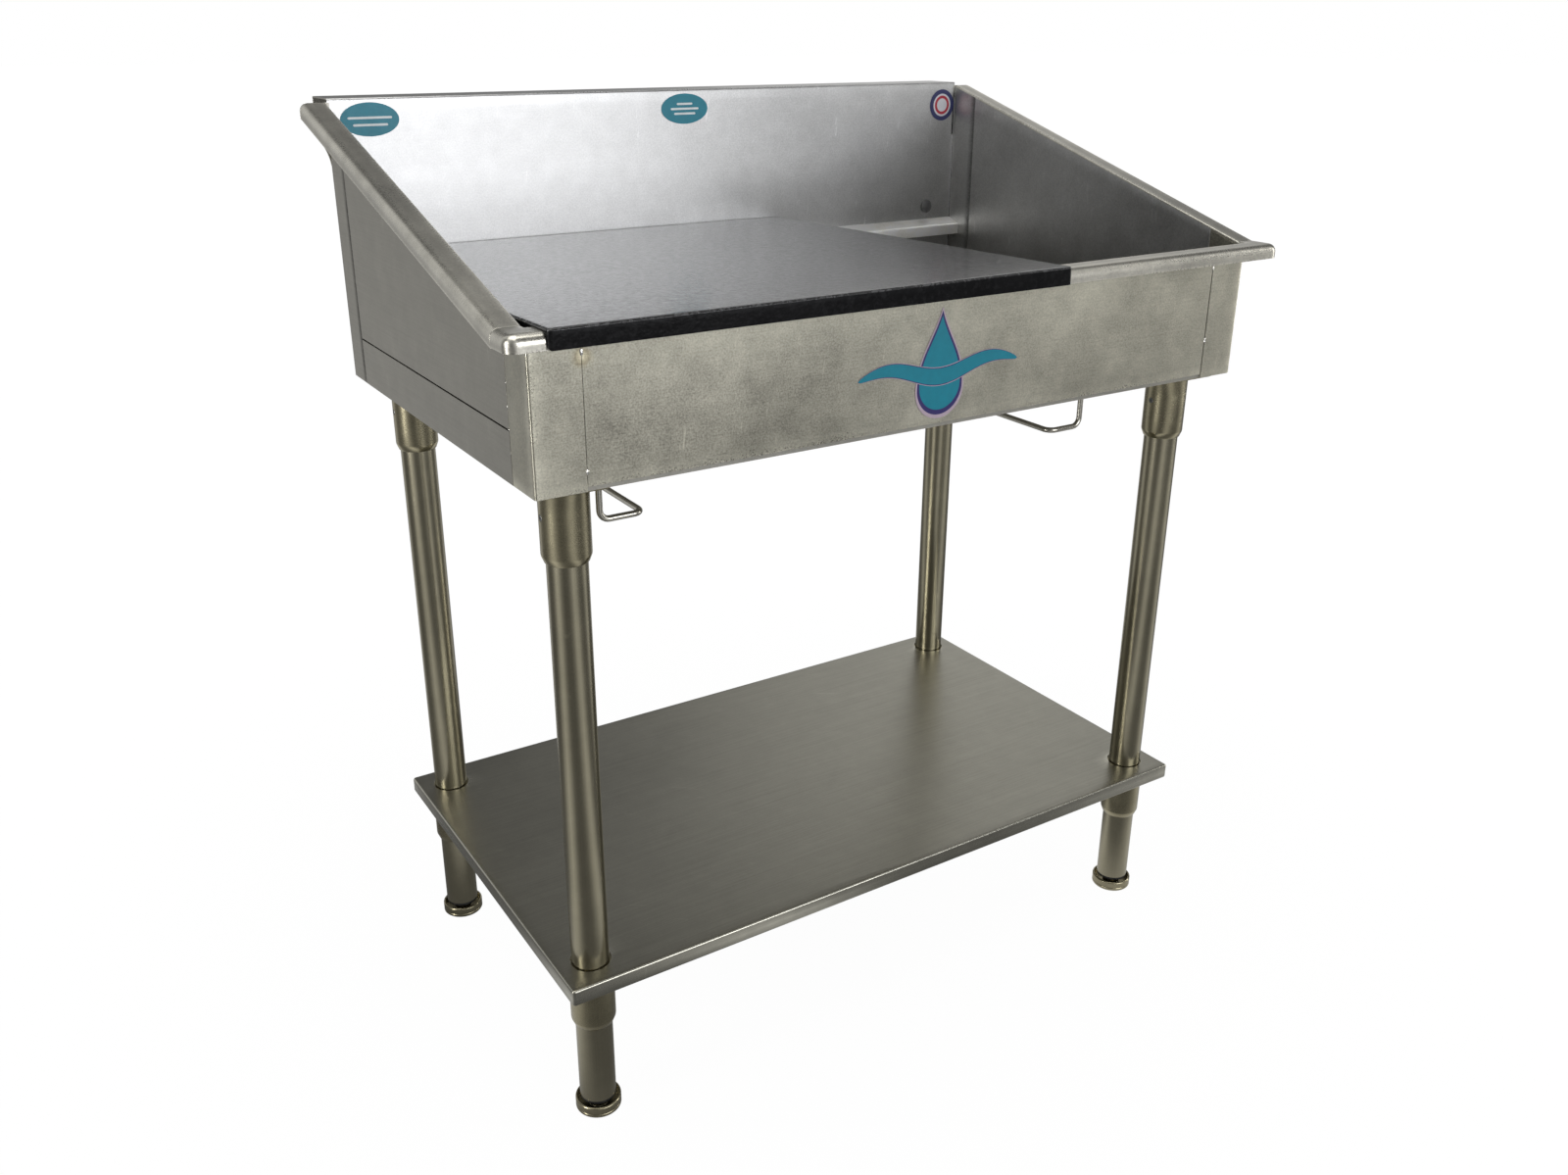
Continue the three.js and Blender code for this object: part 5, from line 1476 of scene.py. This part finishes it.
@dataclass
class Stand:
    """Tube legs in sockets under the tub and under the shelf, with their set screws."""

    shop: Workshop
    leg_radius: float = 20.64 * MM
    leg_wall: float = 1.6 * MM
    socket_radius: float = 25 * MM
    socket_bore: float = 21.0 * MM
    plate: float = 3 * MM
    cut: float = 17 * MM
    taper: float = 7 * MM
    screw_depth: float = 36 * MM

    def build(self) -> None:
        """Makes four legs, eight sockets, eight screws and the shelf."""
        for place in PLACES:
            self.leg(place)
            self.socket(place, "upper")
            self.socket(place, "lower")
        self.shelf()

    def centre(self, place: str) -> tuple[float, float]:
        """X and Y of a leg's axis."""
        low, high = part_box(f"{place}_leg")
        return 0.5 * (low.x + high.x), 0.5 * (low.y + high.y)

    def leg(self, place: str) -> None:
        """A tube: its wall's profile turned about the leg's axis."""
        low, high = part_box(f"{place}_leg")
        inner, outer = self.leg_radius - self.leg_wall, self.leg_radius
        heights = ramp(low.z, high.z, 24)
        edge = 0.4 * MM
        outside = np.stack([np.full(24, outer), np.clip(heights, low.z + edge, high.z - edge)], axis=1)
        ends = [(outer - edge, high.z), (inner, high.z), (inner, low.z), (outer - edge, low.z)]
        profile = np.concatenate([outside, ends])
        tube = turned(profile, 80, self.centre(place)).piece(f"{place}_leg_tube")
        self.shop.fit(soften(tube, 0, 40), "leg_tube", "leg_tube", replaces=(f"{place}_leg",))

    def socket(self, place: str, level: str) -> None:
        """A chamfered plate and a tapered collar under it, in rings from its outline to circles."""
        node = f"{place}_{level}_socket"
        low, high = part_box(node)
        half = 0.5 * (high.x - low.x)
        x, y = self.centre(place)
        turn = steps_round(96)

        def circle(radius: float) -> Array:
            """Points round the axis at one radius."""
            return np.stack([radius * np.cos(turn), radius * np.sin(turn)], axis=1)

        edge = 0.5 * MM
        under = -self.plate
        foot = low.z - high.z
        bore_top = under if level == "upper" else 0.0
        rows = [
            (square_ring(half - edge, self.cut, turn), 0.0, 0.2),
            (square_ring(half, self.cut, turn), -edge, 0.8),
            (square_ring(half, self.cut, turn), under + edge, 0.8),
            (square_ring(half - edge, self.cut, turn), under, 0.3),
            (circle(self.socket_radius + 2.2 * MM), under, 0.5),
            (circle(self.socket_radius + 0.7 * MM), under - 0.6 * MM, 0.7),
            (circle(self.socket_radius), under - 2.2 * MM, 0.4),
            (circle(self.socket_radius), 0.35 * foot, 0.0),
            (circle(self.socket_radius), 0.7 * foot, 0.0),
            (circle(self.socket_radius), foot + self.taper + 1.5 * MM, 0.1),
            (circle(self.socket_radius - 0.25 * MM), foot + self.taper - 0.3 * MM, 0.9),
            (circle(self.socket_bore + 1.3 * MM), foot + 0.5 * MM, 0.3),
            (circle(self.socket_bore + 0.9 * MM), foot, 1.0),
            (circle(self.socket_bore), foot, 0.6),
            (circle(self.socket_bore), bore_top, 0.0),
        ]
        if level == "upper":
            rows = [(circle(0.0), 0.0, 0.0), *rows, (circle(0.0), under, 0.0)]
        points = np.stack([lift(ring + (x, y), high.z + z) for ring, z, _ in rows], axis=1)
        wear = np.broadcast_to(np.array([mark for _, _, mark in rows]), points.shape[:2])
        skin = Skin().grid(points, wrap_u=True, wrap_v=level == "lower", wear=wear, flip=True)
        piece = skin.piece(f"{place}_{level}_collar")
        near, far, bore = 10 * MM, 30 * MM, 3.5 * MM
        rod = np.array([(0, near), (bore, near), (bore, far), (0, far)])
        drill = turned(rod, 28, closed=False).piece("drill")
        axis = Matrix.Translation((x, y, high.z - self.screw_depth))
        drill.data.transform(axis @ Matrix.Rotation(-math.pi / 2, 4, "Y"))
        carve(piece, [drill])
        self.shop.fit(soften(piece, 0, 40), "socket_steel", "socket_steel", replaces=(node,))
        self.screw(place, level)

    def screw(self, place: str, level: str) -> None:
        """Set screw with a chamfered face and a hexagon recess, lying along the socket's side."""
        low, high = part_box(f"{place}_{level}_screw")
        radius = 0.5 * (high.z - low.z)
        turn = steps_round(72)
        hexagon = 0.52 * radius * math.cos(math.pi / 6) / np.cos((turn % (math.pi / 3)) - math.pi / 6)
        long = high.x - low.x
        flat = np.full_like(turn, 1.0)
        chamfer, recess = 0.5 * MM, long - 2.2 * MM
        shank = [(0 * flat, 0.0), (radius * flat, 0.0), (radius * flat, long - chamfer)]
        rows = [
            *shank, ((radius - chamfer) * flat, long), (hexagon, long), (hexagon, recess),
            (0 * flat, recess),
        ]
        rings = [points_at(high.x - out, size * np.cos(turn), size * np.sin(turn)) for size, out in rows]
        points = np.stack(rings, axis=1) + (0.0, 0.5 * (low.y + high.y), 0.5 * (low.z + high.z))
        screw = Skin().grid(points, wrap_u=True, flip=True).piece(f"{place}_{level}_set_screw")
        self.shop.fit(
            soften(screw, 0, 30), "thread_steel", "screw_steel", replaces=(f"{place}_{level}_screw",)
        )

    def shelf(self) -> None:
        """Undershelf: the top spreads from each leg's hole to its quarter, then folds down and under.

        Each quarter's boundary runs along two outer edges and two centre lines. A ring round the hole meets
        it point for point, and the rings between are straight blends of the two.
        """
        low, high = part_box("undershelf")
        radius, drop, turn_in = 4 * MM, high.z - low.z, 12 * MM
        hole = self.leg_radius + 1.9 * MM
        bend, tiny = BEND, 1e-9
        centres = {place: self.centre(place) for place in PLACES}
        middle_x = 0.0
        middle_y = 0.5 * (centres["front_left"][1] + centres["rear_left"][1])
        x_marks = np.concatenate(
            [ramp(low.x + radius, middle_x, 22), ramp(middle_x, high.x - radius, 22)[1:]]
        )
        y_marks = np.concatenate(
            [ramp(low.y + radius, middle_y, 14), ramp(middle_y, high.y - radius, 14)[1:]]
        )
        marks = (x_marks, y_marks, x_marks, y_marks)
        path = CornerPath.round_rectangle((low.x, low.y), (high.x, high.y), radius, marks, 6)
        edge = path.at(bend)[0]
        skin = Skin()
        for x, y in centres.values():
            side_x, side_y = math.copysign(1, x), -1 if y < middle_y else 1
            in_x, in_y = (
                edge[:, 0] - middle_x
            ) * side_x >= -tiny, (edge[:, 1] - middle_y) * side_y >= -tiny
            cross_x = x_marks[(x_marks - middle_x) * side_x >= -tiny]
            cross_y = y_marks[(y_marks - middle_y) * side_y >= -tiny]
            lines = [points_at(cross_x, middle_y, 0.0)[:, :2], points_at(middle_x, cross_y, 0.0)[:, :2]]
            around = np.concatenate([edge[in_x & in_y], *lines])
            angle = np.arctan2(around[:, 1] - y, around[:, 0] - x)
            _, keep = np.unique(np.round(angle, 7), return_index=True)
            around = around[keep]
            angle = angle[keep]
            near = np.stack([x + hole * np.cos(angle), y + hole * np.sin(angle)], axis=1)
            share = np.array([0.0, 0.02, 0.06, 0.15, 0.35, 0.65, 1.0])[:, None, None]
            rings = near + share * (around - near)
            wear = np.broadcast_to(np.array([1.0, 0.3, 0, 0, 0, 0, 0])[:, None], rings.shape[:2])
            skin.grid(lift(rings, high.z), wrap_v=True, wear=wear)
        # The wear along the folded edge brightens it: rubbing on the bends, and a painted highlight down the
        # outer face, strongest (0.9) at its middle.
        turn = np.radians(ramp(0, 90, 7))
        fold = [
            (bend * (1 - math.sin(a)), bend * (1 - math.cos(a)), 0.2 + 0.7 * math.sin(2 * a)) for a in turn
        ]
        under = [(fall, drop - inset, mark) for inset, fall, mark in fold]
        rows = [*fold, (0.0, 0.5 * drop, 0.9), *under, (turn_in, drop, 0.6)]
        loops = np.stack([lift(path.at(inset)[0], high.z - down) for inset, down, _ in rows])
        wear = np.broadcast_to(np.array([mark for _, _, mark in rows])[:, None], loops.shape[:2])
        skin.grid(loops, wrap_v=True, wear=wear)
        shelf = thicken(skin.piece("undershelf_tray"), SHEET)
        self.shop.fit(soften(shelf), "shelf_sheet", "stainless_sheet", replaces=("undershelf",))


# ---------------------------------------------------------------- feet


@dataclass
class Feet:
    """Levelling feet: a turned cup, a threaded stem and a plug in the leg's end."""

    shop: Workshop
    pitch: float = 25.4 / 13 * MM
    thread: float = 0.55 * MM

    def build(self) -> None:
        """Makes the three pieces of each foot."""
        for place in PLACES:
            self.cup(place)
            self.stem(place)
            self.insert(place)

    @staticmethod
    def axis(node: str) -> tuple[float, float, float, Vector, Vector]:
        """A turned node's X, Y and radius, and its box's corners."""
        low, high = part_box(node)
        return 0.5 * (low.x + high.x), 0.5 * (low.y + high.y), 0.5 * (high.x - low.x), low, high

    def cup(self, place: str) -> None:
        """A shallow cup with a rolled rim, a groove round its side and a boss for the stem."""
        x, y, radius, low, high = self.axis(f"{place}_foot_cup")
        top = high.z
        outside = [
            (0, low.z), (radius - 1.5 * MM, low.z), (radius, 1.5 * MM), (radius, 4.2 * MM),
            (radius - 0.5 * MM, 4.8 * MM),
        ]
        outside += [
            (radius - 0.5 * MM, 5.6 * MM), (radius, 6.2 * MM), (radius, top - 1.2 * MM),
            (radius - 1.2 * MM, top),
        ]
        inside = [
            (radius - 2.5 * MM, top), (radius - 2.9 * MM, 3.4 * MM), (11.0 * MM, 3 * MM),
            (10 * MM, 4.4 * MM), (9.6 * MM, 11 * MM),
        ]
        inside += [(6.8 * MM, 11 * MM), (6.7 * MM, 3 * MM), (0, 3 * MM)]
        body = rounded([*outside, *inside], 0.5 * MM, 3)[3:-3]
        profile = np.concatenate([[(0, low.z)], body, [(0, 3 * MM)]])
        on_rim = np.clip((profile[:, 0] - radius + 1.4 * MM) / (1.4 * MM), 0, 1)
        marks = 0.35 * on_rim * np.where(np.abs(profile[:, 1] - 7 * MM) > 4 * MM, 1, 0.2)
        turn = steps_round(72)
        out = profile[:, 0][None, :]
        points = points_at(
            x + out * column(np.cos(turn)), y + out * column(np.sin(turn)), profile[:, 1][None, :]
        )
        skin = Skin().grid(points, wrap_u=True, wear=np.broadcast_to(marks, points.shape[:2]))
        piece = soften(skin.piece(f"{place}_glide_cup"), 0, 40)
        self.shop.fit(piece, "socket_steel", "cup_steel", f"{place}_foot_cup", (f"{place}_foot_cup",))

    def stem(self, place: str) -> None:
        """A screw thread: radius less a depth times a rounded triangle wave of height / pitch - turn."""
        x, y, radius, low, high = self.axis(f"{place}_foot_stem")
        steps = 30
        rows = int((high.z - low.z) / self.pitch * 6)
        turn = steps_round(steps)
        height = ramp(low.z, high.z, rows)
        phase = height[None, :] / self.pitch - turn[:, None] / FULL_TURN
        wave = np.abs((phase % 1.0) * 2 - 1)
        near_end = np.minimum(height - low.z, high.z - height)[None, :]
        size = radius - self.thread * wave - np.clip(1.2 * MM - near_end, 0, 1.2 * MM)
        points = np.empty((steps, rows + 2, 3))
        points[:, 1:-1, 0] = x + size * np.cos(turn)[:, None]
        points[:, 1:-1, 1] = y + size * np.sin(turn)[:, None]
        points[:, 1:-1, 2] = height[None, :]
        points[:, 0] = (x, y, low.z)
        points[:, -1] = (x, y, high.z)
        piece = soften(Skin().grid(points, wrap_u=True).piece(f"{place}_screw_stem"), 0, 60)
        self.shop.fit(piece, "thread_steel", "thread_steel", f"{place}_foot_stem", (f"{place}_foot_stem",))

    def insert(self, place: str) -> None:
        """A flanged plug, ribbed where it sits in the tube."""
        x, y, radius, low, high = self.axis(f"{place}_foot_insert")
        bore = 6.7 * MM
        seat = low.z + 3.7 * MM
        plug = 18.7 * MM
        ribs = [(plug - (0.5 * MM if step % 2 else 0.0), seat + (2 + 3 * step) * MM) for step in range(9)]
        chamfer, lead_in = 1 * MM, 0.8 * MM
        head = [(bore, low.z), (radius - chamfer, low.z), (radius, low.z + chamfer), (radius, seat)]
        corners = [*head, (plug, seat), *ribs, (plug - lead_in, high.z), (bore, high.z)]
        piece = soften(turned(rounded(corners, 0.4 * MM, 3), 60, (x, y)).piece(f"{place}_leg_plug"), 0, 40)
        self.shop.fit(piece, "nylon", "black_nylon", replaces=(f"{place}_foot_insert",))


# ---------------------------------------------------------------- markings


@dataclass
class Markings:
    """Plain printed films: two ovals, a round badge and a water drop with a band across it."""

    shop: Workshop
    rings: int = 24

    def build(self) -> None:
        """Makes each film."""
        labels = {
            "left_oval_label": ((0.1, 0.72), (-0.32, 0.56)),
            "centre_oval_label": ((0.32, 0.3), (0.0, 0.56), (-0.32, 0.42)),
        }
        for node, bars in labels.items():
            self.oval(node, f"{node}_film", "oval_film", "teal_film")
            self.bars(node, bars)
        self.oval("round_badge", "round_badge_film", "badge_film", "badge_film")
        self.drop_graphic()

    def sheet(self, name: str, outline: Array, back: float, thick: float) -> bpy.types.Object:
        """A film from its outline in X and Z, in rings. The wear is the share of the way out.

        Args:
            name: The piece's name.
            outline: Closed outline, anticlockwise seen from the front.
            back: Y of the face that is stuck down.
            thick: Thickness towards -Y.
        """
        centre = 0.5 * (outline.min(axis=0) + outline.max(axis=0))
        share = np.concatenate([ramp(0, 0.8, self.rings)[:-1], ramp(0.8, 1, self.rings)])
        flat = centre + share[:, None, None] * (outline - centre)
        points = self.slab(flat, back - thick, back)
        wear = column(np.concatenate([share, share[::-1]])) * np.ones(len(outline))
        return Skin().grid(points, wrap_v=True, wear=wear).piece(name)

    @staticmethod
    def slab(flat: Array, front: float, back: float) -> Array:
        """Rings in X and Z at the front's Y, followed by the same rings in turn at the back's Y."""
        near = points_at(flat[..., 0], front, flat[..., 1])
        far = points_at(flat[::-1, :, 0], back, flat[::-1, :, 1])
        return np.concatenate([near, far])

    def oval(self, node: str, name: str, finish: str, slot: str) -> None:
        """An elliptical film filling its node's box."""
        low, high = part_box(node)
        turn = steps_round(96)
        half = np.array([0.5 * (high.x - low.x), 0.5 * (high.z - low.z)])
        middle = np.array([0.5 * (low.x + high.x), 0.5 * (low.z + high.z)])
        outline = middle + half * np.stack([np.cos(turn), np.sin(turn)], axis=1)
        film = self.sheet(name, outline, high.y, high.y - low.y)
        self.shop.fit(soften(film, 0), finish, slot, replaces=(node,))

    def bars(self, node: str, bars: Sequence[tuple[float, float]]) -> None:
        """Plain pale bars across an oval label, with round ends.

        Args:
            node: The label's node.
            bars: Height against the label's half height and half length against its half width, for each bar.
        """
        low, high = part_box(node)
        half_x, half_z = 0.5 * (high.x - low.x), 0.5 * (high.z - low.z)
        thick = 1.3 * MM
        skin = Skin()
        for rise, reach in bars:
            ends = arc((0, 0), thick, -90, 90, 9) + (reach * half_x, 0.0)
            middle = (0.5 * (low.x + high.x), 0.5 * (low.z + high.z) + rise * half_z)
            loop = np.concatenate([ends, -ends]) + middle
            centre = loop.mean(axis=0)
            share = ramp(0, 1, 4)[:, None, None]
            flat = centre + share * (loop - centre)
            skin.grid(self.slab(flat, low.y - 0.06 * MM, low.y + 0.1 * MM), wrap_v=True)
        self.shop.fit(soften(skin.piece(f"{node}_bars"), 0), "bar_film", "teal_film")

    def drop_graphic(self) -> None:
        """A drop with shoulders that narrow to a point, and a wavy band in front, fattest at its middle."""
        low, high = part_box("front_graphic")
        x = 0.5 * (low.x + high.x)
        radius = 32 * MM
        tall = high.z - low.z - radius
        foot = low.z + radius
        t = ramp(0, 1, 40)[:, None]
        handles = ((radius, 0.0), (radius, radius * 1.1), (radius * 0.35, tall * 0.62), (0.0, tall))
        p0, p1, p2, p3 = (np.array(handle) for handle in handles)
        right = (1 - t) ** 3 * p0 + 3 * t * (1 - t) ** 2 * p1 + 3 * t**2 * (1 - t) * p2 + t**3 * p3
        below = arc((0, 0), radius, 180, 360, 40)[:-1]
        outline = np.concatenate([right, (right[::-1] * (-1, 1))[1:-1], below]) + (x, foot)
        drop = self.sheet("front_drop_film", outline, high.y, 0.25 * MM)
        self.shop.fit(soften(drop, 0), "drop_film", "teal_film", replaces=("front_graphic",))
        half, swell, thick, rise = 0.5 * (high.x - low.x), 7 * MM, 20 * MM, 20 * MM
        u = ramp(0, 1, 90)
        v = np.concatenate([ramp(-1, -0.6, 12), ramp(-0.6, 0.6, 6)[1:-1], ramp(0.6, 1, 12)])
        spread = 0.5 * thick * np.sin(math.pi * u) ** 0.5
        height = foot + rise + swell * column(np.sin(3 * math.pi * u)) + column(spread) * v[None, :]
        front = points_at(column(x + half * (2 * u - 1)), low.y, height)
        rear = front[:, ::-1].copy()
        rear[..., 1] = high.y - 0.2 * MM
        wear = np.abs(np.concatenate([v, v[::-1]]))[None, :] * np.ones((len(u), 1))
        skin = Skin().grid(np.concatenate([front, rear], axis=1), wrap_v=True, wear=wear)
        self.shop.fit(soften(skin.piece("front_water_band_film"), 0), "drop_film", "teal_film")


# ---------------------------------------------------------------- studio


@dataclass
class Studio:
    """Pale floor, soft lights and the camera."""

    eye: tuple[float, float, float] = (-0.89042, -1.37279, 1.15555)
    yaw: float = 0.565
    pitch: float = 0.384
    roll: float = 0.003
    lens: float = 31.17
    sensor: float = 36.0
    shift: tuple[float, float] = (0.00593, -0.0123)
    bands: float = 5.0
    band_start: float = 2.2
    band_base: float = 0.13
    band_height: float = 0.46

    def build(self) -> None:
        """Sets the whole studio."""
        self.camera()
        self.floor()
        self.world()
        self.softbox(
            "front_window", (0.85, -3.6, 1.34), (-0.2, 0.25, 1.0), (2.3, 1.62), 50.0, (0.96, 0.97, 1.0)
        )
        self.softbox("overhead", (-0.6, -0.3, 3.4), (0.0, 0.0, 0.5), (2.2, 2.2), 26.0, (1.0, 0.99, 0.96))
        self.softbox(
            "left_strip", (-3.2, -0.4, 1.2), (-0.4, 0.0, 0.6), (0.45, 2.2), 34.0, (1.0, 0.985, 0.96)
        )
        self.softbox("right_strip", (3.4, -1.2, 1.2), (0.4, 0.0, 0.7), (0.4, 2.2), 16.0, (1.0, 0.98, 0.94))
        self.softbox("back_right", (2.6, 2.8, 1.9), (0.3, 0.0, 0.3), (2.0, 1.4), 2.0, (1.0, 0.98, 0.94))

    def camera(self) -> None:
        """A camera turned by its yaw, pitch and roll, with no depth of field."""
        data = bpy.data.cameras.new("studio_camera")
        data.lens, data.sensor_width = self.lens, self.sensor
        data.shift_x, data.shift_y = self.shift
        data.clip_end = 60.0
        level_share = math.cos(self.pitch)
        ahead = Vector(
            (math.sin(self.yaw) * level_share, math.cos(self.yaw) * level_share, -math.sin(self.pitch))
        )
        right = Vector((math.cos(self.yaw), -math.sin(self.yaw), 0.0))
        up = right.cross(ahead)
        tilted = right * math.cos(self.roll) + up * math.sin(self.roll)
        level = up * math.cos(self.roll) - right * math.sin(self.roll)
        turn = Matrix((tilted, level, -ahead)).transposed().to_4x4()
        camera = bpy.data.objects.new("studio_camera", data)
        camera.matrix_world = Matrix.Translation(self.eye) @ turn
        bpy.context.scene.collection.objects.link(camera)
        bpy.context.scene.camera = camera

    def floor(self) -> None:
        """A wide pale floor, a little uneven, which turns into an even white glow farther away."""
        reach = 40.0
        x, y = np.meshgrid(ramp(-reach, reach, 8), ramp(-reach, reach, 8), indexing="ij")
        points = np.stack([x, y, np.zeros_like(x)], axis=-1)
        piece = Skin().grid(points).piece("studio_floor")
        material = bpy.data.materials.new("pale_floor")
        material.use_nodes = True
        graph = Graph(material.node_tree)
        shader = material.node_tree.nodes["Principled BSDF"]
        place = graph.node("TexCoord").outputs["Object"]
        away = graph.node("VectorMath", {0: place}, operation="LENGTH").outputs["Value"]
        glow = graph.span(away, 0.0, 1.3, 0.97, 1.0)
        tone = graph.times(
            graph.span(graph.noise(place, 0.7, 3.0), 0.3, 0.7, 0.88, 0.9), graph.math("SUBTRACT", 1.0, glow)
        )
        grey = graph.node("CombineColor", {0: tone, 1: tone, 2: tone}).outputs[0]
        graph.join(grey, shader, "Base Color")
        seen = graph.node("LightPath").outputs["Is Camera Ray"]
        dim = self.banded(graph, place)
        strength = graph.times(glow, graph.node("Mix", {0: seen, 2: dim, 3: 1.0}).outputs[0])
        shader.inputs["Emission Color"].default_value = (1.0, 1.0, 1.0, 1.0)
        graph.join(strength, shader, "Emission Strength")
        shader.inputs["Roughness"].default_value = 0.9
        shader.inputs["Specular IOR Level"].default_value = 0.1
        piece.data.materials.append(material)

    def world(self) -> None:
        """A plain white surround. Everything but the camera sees a dimmer one with soft upright bands."""
        world = bpy.data.worlds.new("studio_surround")
        bpy.context.scene.world = world
        world.use_nodes = True
        graph = Graph(world.node_tree)
        background = world.node_tree.nodes["Background"]
        background.inputs["Color"].default_value = (1.0, 1.0, 1.0, 1.0)
        seen = graph.node("LightPath").outputs["Is Camera Ray"]
        dim = self.banded(graph, graph.node("TexCoord").outputs["Generated"])
        graph.join(graph.node("Mix", {0: seen, 2: dim, 3: 1.0}).outputs[0], background, "Strength")

    def banded(self, graph: Graph, vector: bpy.types.NodeSocket) -> bpy.types.NodeSocket:
        """Brightness by bearing: base + height * (0.5 + 0.5 cos(bands * bearing + start)) squared.

        Args:
            graph: Where the nodes go.
            vector: Direction, or place on the floor.

        Returns:
            The brightness.
        """
        way = graph.node("SeparateXYZ", {0: vector}).outputs
        bearing = graph.math("ARCTAN2", way["Y"], way["X"])
        wave = graph.math("COSINE", graph.plus(graph.times(bearing, self.bands), self.band_start))
        lobe = graph.math("POWER", graph.plus(graph.times(wave, 0.5), 0.5), 2.0)
        return graph.plus(graph.times(lobe, self.band_height), self.band_base)

    @staticmethod
    def softbox(
        name: str, place: Sequence[float], aim: Sequence[float], size: tuple[
            float, float
        ], watts: float, colour: Sequence[float]
    ) -> None:
        """A rectangular light that the camera doesn't see.

        Args:
            name: The light's name.
            place: Where it stands.
            aim: The point that it faces.
            size: Width and height.
            watts: Its power.
            colour: Its colour.
        """
        data = bpy.data.lights.new(name, "AREA")
        data.shape = "RECTANGLE"
        data.size, data.size_y = size
        data.energy = watts
        data.color = colour
        lamp = bpy.data.objects.new(name, data)
        lamp.location = place
        lamp.rotation_euler = (Vector(aim) - Vector(place)).to_track_quat("-Z", "Y").to_euler()
        lamp.visible_camera = False
        bpy.context.scene.collection.objects.link(lamp)


def main() -> None:
    """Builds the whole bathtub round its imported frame."""
    logging.basicConfig(level=logging.INFO, format="%(name)s: %(message)s")
    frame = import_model()
    bpy.context.scene.view_settings.view_transform = "Standard"
    Studio().build()
    sizes = TubSizes.measure()
    shop = Workshop(frame["nodes"], FinishShelf().stock(sizes))
    tub_parts = (Tub(shop, sizes), Drain(shop), Platform(shop), StorageRails(shop))
    for assembly in (*tub_parts, Stand(shop), Feet(shop), Markings(shop)):
        LOG.info("building %s", type(assembly).__name__)
        assembly.build()


if __name__ == "__main__":
    main()
